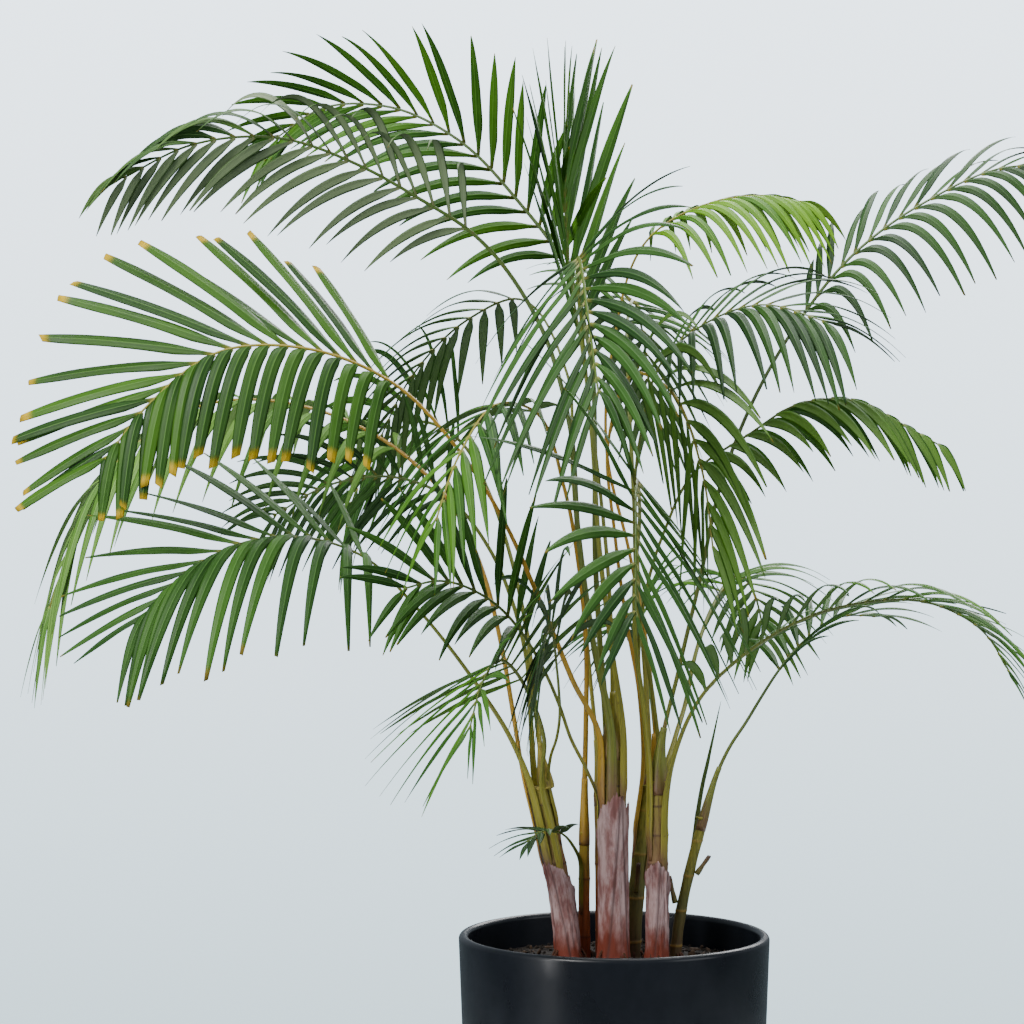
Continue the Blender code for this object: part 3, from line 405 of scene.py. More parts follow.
def paper_material(name, foot, body, pale, dark):
    """A dry leaf sheath: papery, with upright fibres, grey bloom, brown stains, a rusty foot and painted shade
    in the valleys beside its creases.
    """
    paint = Paint(name, 0.68, 0.30)
    _, along, _ = paint.place()
    fibre = paint.grain(520.0, 5.0, 0.7, 0.05)
    cloud = paint.grain(70.0, 5.0, 0.6, 0.35)
    stain = paint.grain(34.0, 4.0, 0.7, 0.5)
    colour = paint.mix(paint.span(cloud, 0.36, 0.62), body, pale)
    colour = paint.mix(paint.span(fibre, 0.50, 0.72, 0.0, 0.65), colour, dark)
    colour = paint.mix(paint.span(stain, 0.56, 0.70, 0.0, 0.55), colour, darker(body, 0.5))
    rise = paint.stirred(along, cloud, 0.5)
    colour = paint.mix(paint.span(rise, 0.10, 0.42, 1.0, 0.0), colour, foot)
    # painted shade in the valleys beside the creases, read from under
    crease = paint.math("MULTIPLY", paint.under(), 0.75)
    colour = paint.mix(crease, colour, darker(body, 0.30))
    paint.bump(paint.math("ADD", fibre, cloud), 0.55, 0.0012)
    return paint.finish(colour)


def glaze_material(name, dark, bright, speck):
    """Satin glaze with a fine orange-peel surface and slightly uneven gloss."""
    paint = Paint(name, 0.30, 0.20)
    broad = paint.grain(16.0, 4.0, 0.6, 0.6)
    specks = paint.grain(1500.0, 1.0)
    colour = paint.ramp(paint.span(broad, 0.3, 0.7), [(0, dark), (1, bright)])
    colour = paint.mix(paint.span(specks, 0.70, 0.78, 0.0, 0.5), colour, speck)
    paint.bump(paint.grain(900.0, 2.0), 0.06, 0.0006)
    paint.shader.inputs["Coat Weight"].default_value = 0.08
    paint.shader.inputs["Coat Roughness"].default_value = 0.18
    return paint.finish(colour, paint.span(broad, 0.3, 0.7, 0.26, 0.38))


def soil_material(name, dark, middle, crumb, damp):
    """Damp potting mix, almost black, with brown crumbs."""
    paint = Paint(name, 0.9, 0.25)
    crumbs = paint.grain(260.0, 5.0, 0.7)
    patches = paint.grain(40.0, 4.0)
    colour = paint.ramp(crumbs, [(0.3, dark), (0.62, middle), (0.8, crumb)])
    colour = paint.mix(paint.span(patches, 0.35, 0.7, 0.0, 0.5), colour, damp)
    paint.bump(crumbs, 0.9, 0.003)
    return paint.finish(colour)


def chip_material(name, dark, bright, scale):
    """Bark, perlite or roots: one grainy colour that differs from bit to bit."""
    paint = Paint(name, 0.85, 0.25)
    _, _, luck = paint.place()
    grain = paint.grain(scale, 5.0, 0.7)
    tone = paint.math("ADD", paint.math("MULTIPLY", grain, 0.6), paint.math("MULTIPLY", luck, 0.5))
    paint.bump(grain, 0.7, 0.0012)
    return paint.finish(paint.ramp(tone, [(0.25, dark), (0.85, bright)]))


def floor_material():
    """Pale matt floor that fades into the studio's light away from the pot."""
    paint = Paint("floor_pale", 0.75, 0.2)
    paint.finish(paint.ramp(paint.grain(90.0), [(0.3, (0.66, 0.70, 0.72)), (0.7, (0.70, 0.74, 0.76))]))
    away = paint.node("VectorMath", {0: paint.node("TexCoord").outputs["Object"]}, operation="LENGTH")
    clear = paint.node("BsdfTransparent")
    share = paint.span(away.outputs["Value"], FLOOR_SOLID, FLOOR_RADIUS)
    blend = paint.node("MixShader", {0: share, 1: paint.shader.outputs[0], 2: clear.outputs[0]})
    paint.tree.links.new(blend.outputs[0], paint.tree.nodes["Material Output"].inputs["Surface"])
    return paint.material


# Building blocks


def lerp(a, b, share):
    return a + (b - a) * share


def smoothstep(value, low, high):
    share = min(max((value - low) / (high - low), 0), 1)
    return share * share * (3 - 2 * share)


def turns(count):
    """Angles that go once round in equal steps."""
    return [math.tau * i / count for i in range(count)]


def around(angle, radius=1.0, height=0.0):
    """A point at an angle round the upright axis."""
    return Vector((math.cos(angle) * radius, math.sin(angle) * radius, height))


def noise_at(x, y, z):
    return noise.noise(Vector((x, y, z)))


class Shape:
    """One piece in the making: points, faces and what its materials read at each point."""

    def __init__(self):
        self.points = []
        self.faces = []
        self.slots = []
        self.places = []
        self.under = []

    def point(self, place, across=0.0, along=0.0, luck=0.5, under=0.0):
        self.points.append(place)
        self.places.append((across, along, luck))
        self.under.append(under)
        return len(self.points) - 1

    def ring(self, spots, along=0.0, luck=0.5, under=0.0):
        """Points of a closed ring, whose number across runs from -1 to 1 round it."""
        count = len(spots)
        return [self.point(spot, i / count * 2 - 1, along, luck, under) for i, spot in enumerate(spots)]

    def face(self, corners, slot=0):
        self.faces.append(corners)
        self.slots.append(slot)

    def join_lines(self, one, two):
        """A strip of faces between two open lines of point numbers."""
        for i in range(len(one) - 1):
            self.face((one[i], two[i], two[i + 1], one[i + 1]))

    def join_rings(self, rings, slot=0, start=True):
        """Faces between closed rings of point numbers, a cap on the last and, if asked for, on the first."""
        count = len(rings[0])
        for one, two in zip(rings, rings[1:]):
            for i in range(count):
                j = (i + 1) % count
                self.face((one[i], one[j], two[j], two[i]), slot)
        if start:
            self.face(tuple(reversed(rings[0])), slot)
        self.face(tuple(rings[-1]), slot)

    def piece(self, name, materials, nodes):
        """The finished piece, which rides on the plant's body and stands for some CAD nodes."""
        mesh = bpy.data.meshes.new(name)
        mesh.from_pydata([tuple(p) for p in self.points], [], self.faces)
        place = mesh.attributes.new("place", "FLOAT_VECTOR", "POINT")
        place.data.foreach_set("vector", [number for triple in self.places for number in triple])
        under = mesh.attributes.new("under", "FLOAT", "POINT")
        under.data.foreach_set("value", self.under)
        mesh.polygons.foreach_set("material_index", self.slots)
        mesh.polygons.foreach_set("use_smooth", [True] * len(self.faces))
        for material in materials:
            mesh.materials.append(MATERIALS[material])
        shape = bmesh.new()
        shape.from_mesh(mesh)
        bmesh.ops.recalc_face_normals(shape, faces=shape.faces)
        shape.to_mesh(mesh)
        shape.free()
        made = bpy.data.objects.new(name, mesh)
        bpy.context.scene.collection.objects.link(made)
        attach(made, "root")
        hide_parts(*nodes)


def slopes_at(points):
    """Direction of a smooth curve at each of its points, leaning towards its nearer neighbour's."""
    spans = [(b - a).length for a, b in zip(points, points[1:])]
    straight = [(b - a) / span for a, b, span in zip(points, points[1:], spans)]
    slopes = [straight[0]]
    for i in range(1, len(points) - 1):
        slopes.append((straight[i - 1] * spans[i] + straight[i] * spans[i - 1]) / (spans[i - 1] + spans[i]))
    return slopes + [straight[-1]]


class Path:
    """A smooth curve through points that carry values with them, read by the distance along it."""

    def __init__(self, points, values):
        self.points = points
        self.values = values
        self.slopes = slopes_at(points)
        self.along = [0.0]
        for a, b in zip(points, points[1:]):
            self.along.append(self.along[-1] + (b - a).length)
        self.length = self.along[-1]

    def at(self, distance):
        """Point, direction and values at a distance."""
        i = 0
        while i < len(self.along) - 2 and self.along[i + 1] < distance:
            i += 1
        span = self.along[i + 1] - self.along[i]
        t = (distance - self.along[i]) / span
        a, b = self.points[i], self.points[i + 1]
        rise, fall = self.slopes[i] * span, self.slopes[i + 1] * span
        bend = (b - a) * 3 - rise * 2 - fall
        turn = (a - b) * 2 + rise + fall
        point = a + rise * t + bend * t**2 + turn * t**3
        direction = (rise + bend * 2 * t + turn * 3 * t**2).normalized()
        values = [lerp(one, two, t) for one, two in zip(self.values[i], self.values[i + 1])]
        return point, direction, values


def welded(node):
    shape = bmesh.new()
    shape.from_mesh(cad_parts[node].data)
    bmesh.ops.remove_doubles(shape, verts=shape.verts, dist=WELD)
    return shape


class Slices:
    """Level cuts through an upright CAD node: the middle and the outer radius at any height."""

    def __init__(self, node):
        shape = welded(node)
        self.edges = [(edge.verts[0].co.copy(), edge.verts[1].co.copy()) for edge in shape.edges]
        shape.free()
        self.low, self.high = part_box(node)

    def at(self, height):
        """Middle and radius at a height. Beyond the node's ends they are those of its ends."""
        level = min(max(height, self.low.z + LOW_MARGIN), self.high.z - HIGH_MARGIN)
        cuts = []
        for a, b in self.edges:
            if (a.z - level) * (b.z - level) < 0:
                cuts.append(a.lerp(b, (level - a.z) / (b.z - a.z)))
        xs = [cut.x for cut in cuts]
        ys = [cut.y for cut in cuts]
        middle = Vector(((min(xs) + max(xs)) / 2, (min(ys) + max(ys)) / 2, level))
        radius = max((cut - middle).length for cut in cuts)
        middle.z = height
        return middle, radius


# Fronds


@dataclass
class Look:
    """How a frond's leaflets differ: materials, width, how blunt their tips are, how they sag and twist."""

    leaf: str
    stalk: str
    broad: float = 1.0
    blunt: float = 0.0
    sag: float = 0.05
    twist: float = 14


LOOKS = {
    "frond_left_great": Look("leaf_great", "stalk_golden", 0.94, 0.92, 0.02, 6),
    "frond_front_high": Look("leaf_deep", "stalk_olive", 1.0, 0.1, 0.06),
    "frond_front_low": Look("leaf_mid", "stalk_olive", 1.0, 0.1, 0.04),
    "frond_left_middle": Look("leaf_mid", "stalk_olive", 1.0, 0.3, 0.03, 8),
    "frond_left_behind": Look("leaf_pale", "stalk_golden", 0.95, 0.0, 0.08),
    "frond_left_fan": Look("leaf_fresh", "stalk_olive", 0.95, 0.0, 0.04),
    "frond_right_low": Look("leaf_fresh", "stalk_olive", 0.95, 0.0, 0.05),
    "frond_right_long": Look("leaf_deep", "stalk_green", 0.95, 0.1, 0.06),
    "frond_right_arched": Look("leaf_fresh", "stalk_olive", 0.95, 0.0, 0.05),
    "frond_top_left": Look("leaf_fresh", "stalk_green", 0.92, 0.0, 0.07),
    "frond_upper_left": Look("leaf_grey", "stalk_green", 0.92, 0.0, 0.07),
    "frond_crown": Look("leaf_fresh", "stalk_olive", 1.05, 0.1, 0.03, 8),
    "frond_upper_right": Look("leaf_bright", "stalk_golden", 1.0, 0.0, 0.07),
    "frond_far_right": Look("leaf_mid", "stalk_green", 0.9, 0.0, 0.05),
    "frond_centre_right": Look("leaf_deep", "stalk_olive", 1.0, 0.1, 0.06),
    "frond_centre_left": Look("leaf_mid", "stalk_olive", 1.0, 0.0, 0.06),
    "frond_left_feathery": Look("leaf_deep", "stalk_olive", 0.9, 0.0, 0.06),
    "frond_left_rising": Look("leaf_mid", "stalk_olive", 0.95, 0.1, 0.04),
    "frond_inner_right": Look("leaf_fresh", "stalk_golden", 1.0, 0.1, 0.05),
    "frond_inner_left": Look("leaf_fresh", "stalk_golden", 1.0, 0.0, 0.05),
    "frond_shoot_low": Look("leaf_deep", "stalk_olive", 0.95, 0.0, 0.06),
    "frond_back_high": Look("leaf_mid", "stalk_olive"),
    "frond_back_left": Look("leaf_mid", "stalk_olive"),
    "frond_back_right": Look("leaf_fresh", "stalk_olive"),
    "frond_back_low": Look("leaf_mid", "stalk_green"),
    "frond_left_inner": Look("leaf_deep", "stalk_olive", 0.95, 0.0, 0.06),
}


class Frond:
    """A frond read from the frame: the line of its stalk from the foot up, and its leaflets."""

    def __init__(self, node):
        shape = welded(node)
        self.leaflets = []
        feet = {}
        blade = set()
        for tip in shape.verts:
            if len(tip.link_edges) != 3 or min(e.calc_length() for e in tip.link_edges) < SHORTEST_TIP_EDGE:
                continue
            middle = [edge.other_vert(tip) for edge in tip.link_edges]
            margins = max(combinations(middle, 2), key=lambda pair: (pair[0].co - pair[1].co).length)
            ridge = next(vert for vert in middle if vert not in margins)
            near = {edge.other_vert(vert) for vert in middle for edge in vert.link_edges}
            foot = near - set(middle) - {tip}
            for vert in foot:
                feet[vert] = feet.get(vert, 0) + 1
            blade.update(middle, [tip])
            start = sum((vert.co for vert in foot), Vector()) / len(foot)
            self.leaflets.append((start, ridge.co.copy(), [m.co.copy() for m in margins], tip.co.copy()))
        rings = self.stalk_rings(shape, blade)
        self.centres = [sum((vert.co for vert in ring), Vector()) / len(ring) for ring in rings]
        self.radii = [(ring[0].co - centre).length for ring, centre in zip(rings, self.centres)]
        self.ups = self.stalk_ups(rings, feet)
        shape.free()

    def stalk_rings(self, shape, blade):
        """The stalk's triangles of points, from the larger of its two end caps on."""
        caps = []
        for face in shape.faces:
            sides = [edge.calc_length() for edge in face.edges]
            if max(sides) < CAP_EVENNESS * min(sides) and not blade.intersection(face.verts):
                caps.append((sides[0], face))
        ring = list(max(caps, key=lambda cap: cap[0])[1].verts)
        seen = set(ring)
        rings = []
        while ring:
            rings.append(ring)
            near = {edge.other_vert(vert) for vert in ring for edge in vert.link_edges}
            ring = [vert for vert in near if vert not in seen and vert not in blade]
            seen.update(ring)
        return rings

    def stalk_ups(self, rings, feet):
        """Direction away from the keel at each ring. The keel is the corner that two leaflets share."""
        shared = [[vert for vert in ring if feet.get(vert) == 2] for ring in rings]
        known = next(i for i, verts in enumerate(shared) if len(verts) == 1)
        ups = [None] * len(rings)
        ups[known] = (self.centres[known] - shared[known][0].co).normalized()
        order = [(i, i + 1) for i in range(known - 1, -1, -1)]
        order += [(i, i - 1) for i in range(known + 1, len(rings))]
        for i, neighbour in order:
            choices = [(self.centres[i] - vert.co).normalized() for vert in rings[i]]
            ups[i] = max(choices, key=lambda up: up.dot(ups[neighbour]))
        return ups


def leaflet_width(t, blunt):
    """Half width of a leaflet at a share of its length, where its widest part has 1."""
    opening = lerp(0.34, 1, smoothstep(t, 0.0, 0.26))
    taper_start = lerp(0.42, 0.72, blunt)
    taper_end = lerp(0.05, 0.62, blunt)
    share = max(t - taper_start, 0) / (1 - taper_start)
    return opening * lerp(1, taper_end, share ** lerp(1.55, 1.9, blunt))


def rib_rise(s):
    """How far the midrib and the side ribs stand out of a blade's upper side at its foot."""
    midrib = MIDRIB_RISE * math.exp(-((s / MIDRIB_HALF) ** 2))
    side_rib = SIDE_RIB_RISE * math.exp(-(((abs(s) - SIDE_RIB_PLACE) / SIDE_RIB_HALF) ** 2))
    return midrib + side_rib


class Blade:
    """One leaflet: the line that it follows, and what chance makes different from the next one's."""

    def __init__(self, leaflet, look):
        self.start, ridge, margins, tip = leaflet
        middle = (margins[0] + margins[1]) / 2
        reach = tip - self.start
        self.up = (ridge - middle).normalized()
        self.half = (margins[1] - margins[0]).length / 2 * look.broad
        self.axis = (margins[1] - margins[0]).normalized()
        sideways = reach * LEAFLET_MIDDLE - (middle - self.start)
        self.bend = sideways / (LEAFLET_MIDDLE - LEAFLET_MIDDLE**2)
        self.slope = reach - self.bend
        self.luck = chance.random()
        self.twist = math.radians(chance.uniform(-look.twist, look.twist))
        self.sag = look.sag * reach.length * chance.uniform(0.6, 1.5)
        self.drift = chance.uniform(-0.035, 0.035) * reach.length
        self.blunt = min(max(look.blunt + chance.uniform(-0.15, 0.15), 0), 1)
        self.slant = chance.uniform(-0.5, 0.5) * self.half * self.blunt
        self.phase = chance.uniform(0, 6.28)

    def stance(self, t):
        """The blade's middle at a share of its length, and the directions along it, across it and off it."""
        centre = self.start + self.slope * t + self.bend * t * t
        centre = centre - UP * self.sag * t**3 + self.axis * self.drift * t * t
        along = self.slope + self.bend * 2 * t
        along = (along - UP * 3 * self.sag * t * t + self.axis * 2 * self.drift * t).normalized()
        across = (self.axis - along * self.axis.dot(along)).normalized()
        normal = across.cross(along)
        if normal.dot(self.up) < 0:
            normal = -normal
        turn = Matrix.Rotation(self.twist * t * t, 3, along)
        return centre, along, turn @ across, turn @ normal

    def add_row(self, shape, t):
        """A ring of points round the blade: its upper side with the ribs, then its underside."""
        centre, along, across, normal = self.stance(t)
        width = self.half * leaflet_width(t, self.blunt)
        fold = lerp(LEAF_FOLD_FOOT, LEAF_FOLD_MIDDLE, smoothstep(t, 0.0, 0.45))
        fold += LEAF_FOLD_TIP * smoothstep(t, 0.6, 1.0)
        wave = LEAF_WAVE * self.half * math.sin(self.phase + 9 * t)
        thick = LEAF_THICK * lerp(LEAF_FOOT_THICK, 1, smoothstep(t, 0.0, 0.08)) * lerp(1, LEAF_TIP_THICK, t)

        def spot(s, rise):
            height = rise - fold * abs(s) * width + wave * s * abs(s)
            return centre + across * (s * width) + normal * height + along * (self.slant * s * t**6)

        ring = []
        for s in LEAFLET_COLUMNS:
            ring.append(shape.point(spot(s, rib_rise(s) * (1 - t) + thick / 2), s, t, self.luck, 0.0))
        for s in LEAFLET_UNDER_COLUMNS:
            rib = UNDER_RIB_RISE * (1 - t) if s == 0 else 0
            ring.append(shape.point(spot(s, -rib - thick / 2), s, t, self.luck, 1.0))
        return ring


def add_leaflet(shape, leaflet, look):
    """One blade: a thin folded skin with a raised midrib and two side ribs, drawn along its sagging line."""
    blade = Blade(leaflet, look)
    shares = [(row / (LEAFLET_ROWS - 1)) ** LEAFLET_ROW_BIAS for row in range(LEAFLET_ROWS)]
    shape.join_rings([blade.add_row(shape, t) for t in shares])


def nearest_cane(point):
    """The cane that a stalk's foot stands on."""
    gaps = []
    for name, slices in CANE_SLICES.items():
        middle, radius = slices.at(point.z)
        level = Vector((point.x - middle.x, point.y - middle.y))
        gaps.append((level.length - radius + max(point.z - slices.high.z, 0), name))
    return CANE_SLICES[min(gaps)[1]]


def stalk_path(frond, cane, on_top):
    """A stalk's line with its radius, its upper side and how tightly it clasps its cane."""
    points = list(frond.centres)
    if on_top:
        return Path(points, [(radius, up, 0.0) for radius, up in zip(frond.radii, frond.ups)])
    values = []
    for point, radius, up in zip(points, frond.radii, frond.ups):
        above = point.z - cane.high.z
        values.append((radius, up, 1 - smoothstep(above, -CLASP_BELOW, CLASP_ABOVE)))
    foot, foot_radius = points[0], frond.radii[0]
    middle, cane_radius = cane.at(foot.z)
    outward = (foot - middle).normalized()
    for drop in CLASP_DROPS:
        middle, _ = cane.at(foot.z - CLASP_REACH * drop)
        points.insert(0, middle + outward * (cane_radius + foot_radius * lerp(0.35, 0.0, drop)))
        values.insert(0, (foot_radius * lerp(0.9, 0.5, drop), -outward, 1.0 + drop * 0.25))
    return Path(points, values)


def add_stalk(shape, frond):
    """The petiole and rachis: a D-shaped tube that widens at its foot and clasps the cane."""
    cane = nearest_cane(frond.centres[0])
    on_top = frond.centres[0].z > cane.high.z - ON_TOP
    path = stalk_path(frond, cane, on_top)
    steps = round(path.length / STALK_STEP)
    luck = chance.random()
    rings = []
    for step in range(steps + 1):
        share = step / steps
        point, along, (radius, up, clasp) = path.at(path.length * share)
        up = (up - along * up.dot(along)).normalized()
        side = along.cross(up)
        half_width = radius * STALK_WIDTH * lerp(1, CLASP_WIDTH, clasp)
        depth = radius * STALK_DEPTH * lerp(1, CLASP_DEPTH, clasp)
        spots = []
        for angle in turns(STALK_SIDES):
            x, y = math.cos(angle) * half_width, math.sin(angle) * depth
            if y > 0:
                y *= 0.55 + 0.35 * abs(math.cos(angle)) ** 3
            y += clasp * x * x / CLASP_CURL
            spots.append(point + side * x + up * y)
        rings.append(shape.ring(spots, share, luck))
    shape.join_rings(rings, 1)
    if on_top:
        add_crownshaft(shape, cane, path, luck)


def add_crownshaft(shape, cane, path, luck):
    """The sheath that narrows from a cane's top into the stalk that grows out of it."""
    _, cane_radius = cane.at(cane.high.z)
    rings = []
    for row in range(CROWNSHAFT_ROWS + 1):
        share = row / CROWNSHAFT_ROWS
        distance = lerp(-CROWNSHAFT_OVERLAP, CROWNSHAFT_REACH, share)
        point, along, (radius, up, _) = path.at(max(distance, 0))
        if distance < 0:
            point, _ = cane.at(cane.high.z + distance)
        up = (up - along * up.dot(along)).normalized()
        side = along.cross(up)
        narrowing = smoothstep(share, 0.1, 1.0) ** 0.8
        girth = CROWNSHAFT_GIRTH * lerp(cane_radius, radius, narrowing)
        spots = []
        for angle in turns(CROWNSHAFT_SIDES):
            fold = 1 + 0.035 * math.sin(5 * angle + 2.5 * share) + 0.03 * math.sin(2 * angle + 1)
            spots.append(point + (side * math.cos(angle) + up * math.sin(angle)) * girth * fold)
        rings.append(shape.ring(spots, 0.02 + 0.10 * share, luck))
    shape.join_rings(rings, 1)


def build_frond(node):
    look = LOOKS[node]
    frond = Frond(node)
    shape = Shape()
    for leaflet in frond.leaflets:
        add_leaflet(shape, leaflet, look)
    add_stalk(shape, frond)
    shape.piece(node.replace("frond_", "leaf_"), [look.leaf, look.stalk], [node])


# Canes


def scar_at(height, pitch, first):
    """How much of a leaf scar there is at a height: 1 on the ring, 0 away from it."""
    away = abs((height - first + pitch / 2) % pitch - pitch / 2)
    return math.exp(-((away / SCAR_HALF) ** 2))


def cane_levels(slices, soil, pitch, tip):
    """Level rings of a cane from below the soil up: middle, radius, share of the height and scar."""
    top = slices.high.z
    bottom = soil - CANE_BURIED
    first = soil + FIRST_SCAR * pitch
    rows = round((top - bottom) / CANE_ROW)
    levels = []
    for row in range(rows + 1):
        height = lerp(bottom, top, row / rows)
        middle, radius = slices.at(height)
        scar = scar_at(height, pitch, first)
        swell = CANE_SWELL * math.cos(math.tau * (height - first) / pitch)
        foot = FOOT_SWELL * math.exp(-max(height - soil, 0) / FOOT_FADE)
        girth = radius * (CANE_SLIM + swell + foot) + SCAR_RISE * scar
        share = max((height - soil) / (top - soil), 0)
        levels.append((middle, girth, share, SCAR_DARK * scar))
    if tip:
        middle, radius = slices.at(top - HIGH_MARGIN)
        for row in range(1, TIP_ROWS + 1):
            share = row / TIP_ROWS
            girth = radius * (1 - share) ** 0.8 + TIP_POINT
            levels.append((middle + TIP_LEAN * TIP_REACH * share, girth, 1.0, 0.0))
    return levels


def build_cane(node, material, pitch, slot, tip):
    """A ringed cane with a swollen, rooted foot."""
    slices = CANE_SLICES[node]
    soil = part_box("soil")[1].z
    shape = Shape()
    rings = []
    for middle, radius, along, scar in cane_levels(slices, soil, pitch, tip):
        spots = []
        for angle in turns(CANE_SIDES):
            outward = around(angle)
            ruffle = CANE_RUFFLE * noise_at(outward.x * 3, outward.y * 3, middle.z * 30)
            spots.append(middle + outward * (radius + ruffle))
        rings.append(shape.ring(spots, along, 0.5, scar))
    shape.join_rings(rings)
    add_roots(shape, slices, soil)
    shape.piece(node + "_bark", [material, "root_brown"], [node])


def add_roots(shape, slices, soil):
    """Short brown roots that leave a cane's foot and go down into the soil."""
    _, radius = slices.at(soil + ROOT_READ)
    for _ in range(round(ROOTS * radius)):
        outward = around(chance.uniform(0, math.tau))
        height = soil + chance.uniform(0.002, 0.012) * radius / ROOT_CANE
        thick = chance.uniform(0.0009, 0.0017)
        reach = chance.uniform(0.003, 0.008)
        middle, girth = slices.at(height)
        side = Vector((-outward.y, outward.x, 0))
        lean = (outward + UP * 0.8).normalized()
        rings = []
        for row in range(ROOT_ROWS + 1):
            share = row / ROOT_ROWS
            centre = middle + outward * (girth * 0.95 + reach * math.sin(share * 1.9))
            centre.z = lerp(height, soil - ROOT_DEPTH, share**1.4)
            size = thick * (1.15 - 0.55 * share)
            spots = []
            for turn in turns(ROOT_SIDES):
                spots.append(centre + (side * math.cos(turn) + lean * math.sin(turn)) * size)
            rings.append(shape.ring(spots, share))
        shape.join_rings(rings, 1)


def folds_at(s, share, creases, shift, half):
    """How near a place is to a sheath's long folds, moved sideways by a shift: 1 on one, 0 away from them."""
    return sum(math.exp(-(((s - place - shift - lean * share) / half) ** 2)) for place, lean in creases)


def sheath_rise(s, share, slit, creases):
    """How far a sheath stands out at a place, by its pleats, crumples, creases, open edges and flared ends."""
    pleat = 0.0014 * abs(noise_at(s * 9, share * 1.4, slit))
    crumple = 0.0006 * noise_at(s * 14, share * 9, slit + 5) + 0.00025 * noise_at(s * 40, share * 30, slit + 9)
    crease = CREASE_RISE * folds_at(s, share, creases, 0.0, CREASE_HALF)
    lip = 0.0015 * smoothstep(abs(s), 0.88, 1.0)
    flare = 0.0024 * math.exp(-share / 0.06) + 0.0012 * smoothstep(share, 0.8, 1.0)
    return pleat + crumple + crease + lip + flare


def add_sheath_skin(shape, node, cane, slit, creases, offset):
    """One skin of a sheath, as columns of points from its foot up to its ragged top."""
    slices = CANE_SLICES[cane]
    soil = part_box("soil")[1].z
    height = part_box(node)[1].z - soil
    columns = []
    for column in range(SHEATH_COLUMNS + 1):
        s = column / SHEATH_COLUMNS * 2 - 1
        ragged = 0.06 * noise_at(s * 7, 3.1, slit) + 0.03 * noise_at(s * 23, 1.7, slit)
        limit = height * (SHEATH_OVERTOP - SHEATH_CUT * abs(s) ** 1.5 + ragged)
        points = []
        for row in range(SHEATH_ROWS + 1):
            share = row / SHEATH_ROWS
            middle, radius = slices.at(soil + limit * share)
            wrap = lerp(SHEATH_FOOT_WRAP, SHEATH_TOP_WRAP, share)
            outward = around(math.radians(slit + 180 + s * wrap / 2))
            spot = middle + outward * (radius + offset + sheath_rise(s, share, slit, creases))
            # painted shade: how much darker the sheath is drawn in the valley beside each crease, carried as
            # under
            painted_shade = min(folds_at(s, share, creases, PAINTED_SHADE_SHIFT, PAINTED_SHADE_HALF), 1.0)
            points.append(shape.point(spot, s, share, 0.5, painted_shade))
        columns.append(points)
    return columns


def build_sheath(node, cane, slit, creases):
    """A crumpled papery sheath round a cane: pleats, long creases, a ragged top and a flared rusty foot."""
    shape = Shape()
    outer, inner = [add_sheath_skin(shape, node, cane, slit, creases, offset) for offset in SHEATH_SKINS]
    for one, two in zip(outer, outer[1:]):
        shape.join_lines(one, two)
    for one, two in zip(inner, inner[1:]):
        shape.join_lines(two, one)
    for end in (0, -1):
        shape.join_lines([column[end] for column in outer], [column[end] for column in inner])
        shape.join_lines(outer[end], inner[end])
    shape.piece(node + "_paper", ["sheath_paper"], [node])


def build_stub(node):
    """What is left of a cut petiole: a D-shaped stump with a split, dried end."""
    slices = Slices(node)
    foot, _ = slices.at(slices.low.z + STUB_INSET)
    head, _ = slices.at(slices.high.z - STUB_INSET)
    axis = (head - foot).normalized()
    foot -= axis * STUB_SUNK
    length = (head - foot).length + STUB_INSET
    side = axis.orthogonal().normalized()
    up = axis.cross(side)
    shape = Shape()
    rings = []
    for row in range(STUB_ROWS + 1):
        share = row / STUB_ROWS
        girth = lerp(STUB_FOOT_RADIUS, STUB_HEAD_RADIUS, share) * (1 + 0.10 * math.sin(9 * share))
        spots = []
        for i, angle in enumerate(turns(STUB_SIDES)):
            flat = 0.7 if math.sin(angle) > 0 else 1
            spot = foot + axis * length * share + side * math.cos(angle) * girth
            spot += up * math.sin(angle) * girth * flat
            if share > 0.9:
                spot += axis * STUB_SPLIT * noise_at(i * 1.7, length * 90, 0)
            spots.append(spot)
        rings.append(shape.ring(spots, share, 0.5, smoothstep(share, 0.8, 1.0)))
    shape.join_rings(rings)
    shape.piece(node + "_cut", ["stub_dry"], [node])


def build_spear():
    """The rolled youngest leaf: a fine rod with a spiral overlap that runs up to its point."""
    slices = Slices("spear_leaf")
    foot, head = slices.low.z + 0.0005, slices.high.z - 0.0012
    points = [slices.at(lerp(foot, head, i / 8))[0] for i in range(9)]
    path = Path(points, [()] * len(points))
    shape = Shape()
    rings = []
    for row in range(SPEAR_ROWS + 1):
        share = row / SPEAR_ROWS
        point, along, _ = path.at(path.length * share)
        side = (Vector((1, 0, 0)) - along * along.x).normalized()
        up = along.cross(side)
        girth = SPEAR_RADIUS * (1 - share**2.2) + SPEAR_POINT
        spots = []
        for angle in turns(SPEAR_SIDES):
            lap = ((angle / math.tau + share * SPEAR_TURNS) % 1.0) ** 6
            outward = side * math.cos(angle) + up * math.sin(angle)
            spots.append(point + outward * girth * (0.92 + 0.22 * lap))
        rings.append(shape.ring(spots, share))
    shape.join_rings(rings)
    shape.piece("spear_rolled", ["stalk_green"], ["spear_leaf"])


# Soil and pot

# Loose bits on the soil, a line for each material of the bed: how many, how far out they lie, their
# least and greatest size, their stretch and how high they lie.
SOIL_BITS = (
    (760, 0.97, 0.0008, 0.0026, (1, 1, 0.8), 0.3),
    (150, 0.95, 0.002, 0.0055, (1.3, 0.7, 0.35), 0.25),
    (26, 0.93, 0.0008, 0.0016, (1, 0.9, 0.85), 0.6),
)


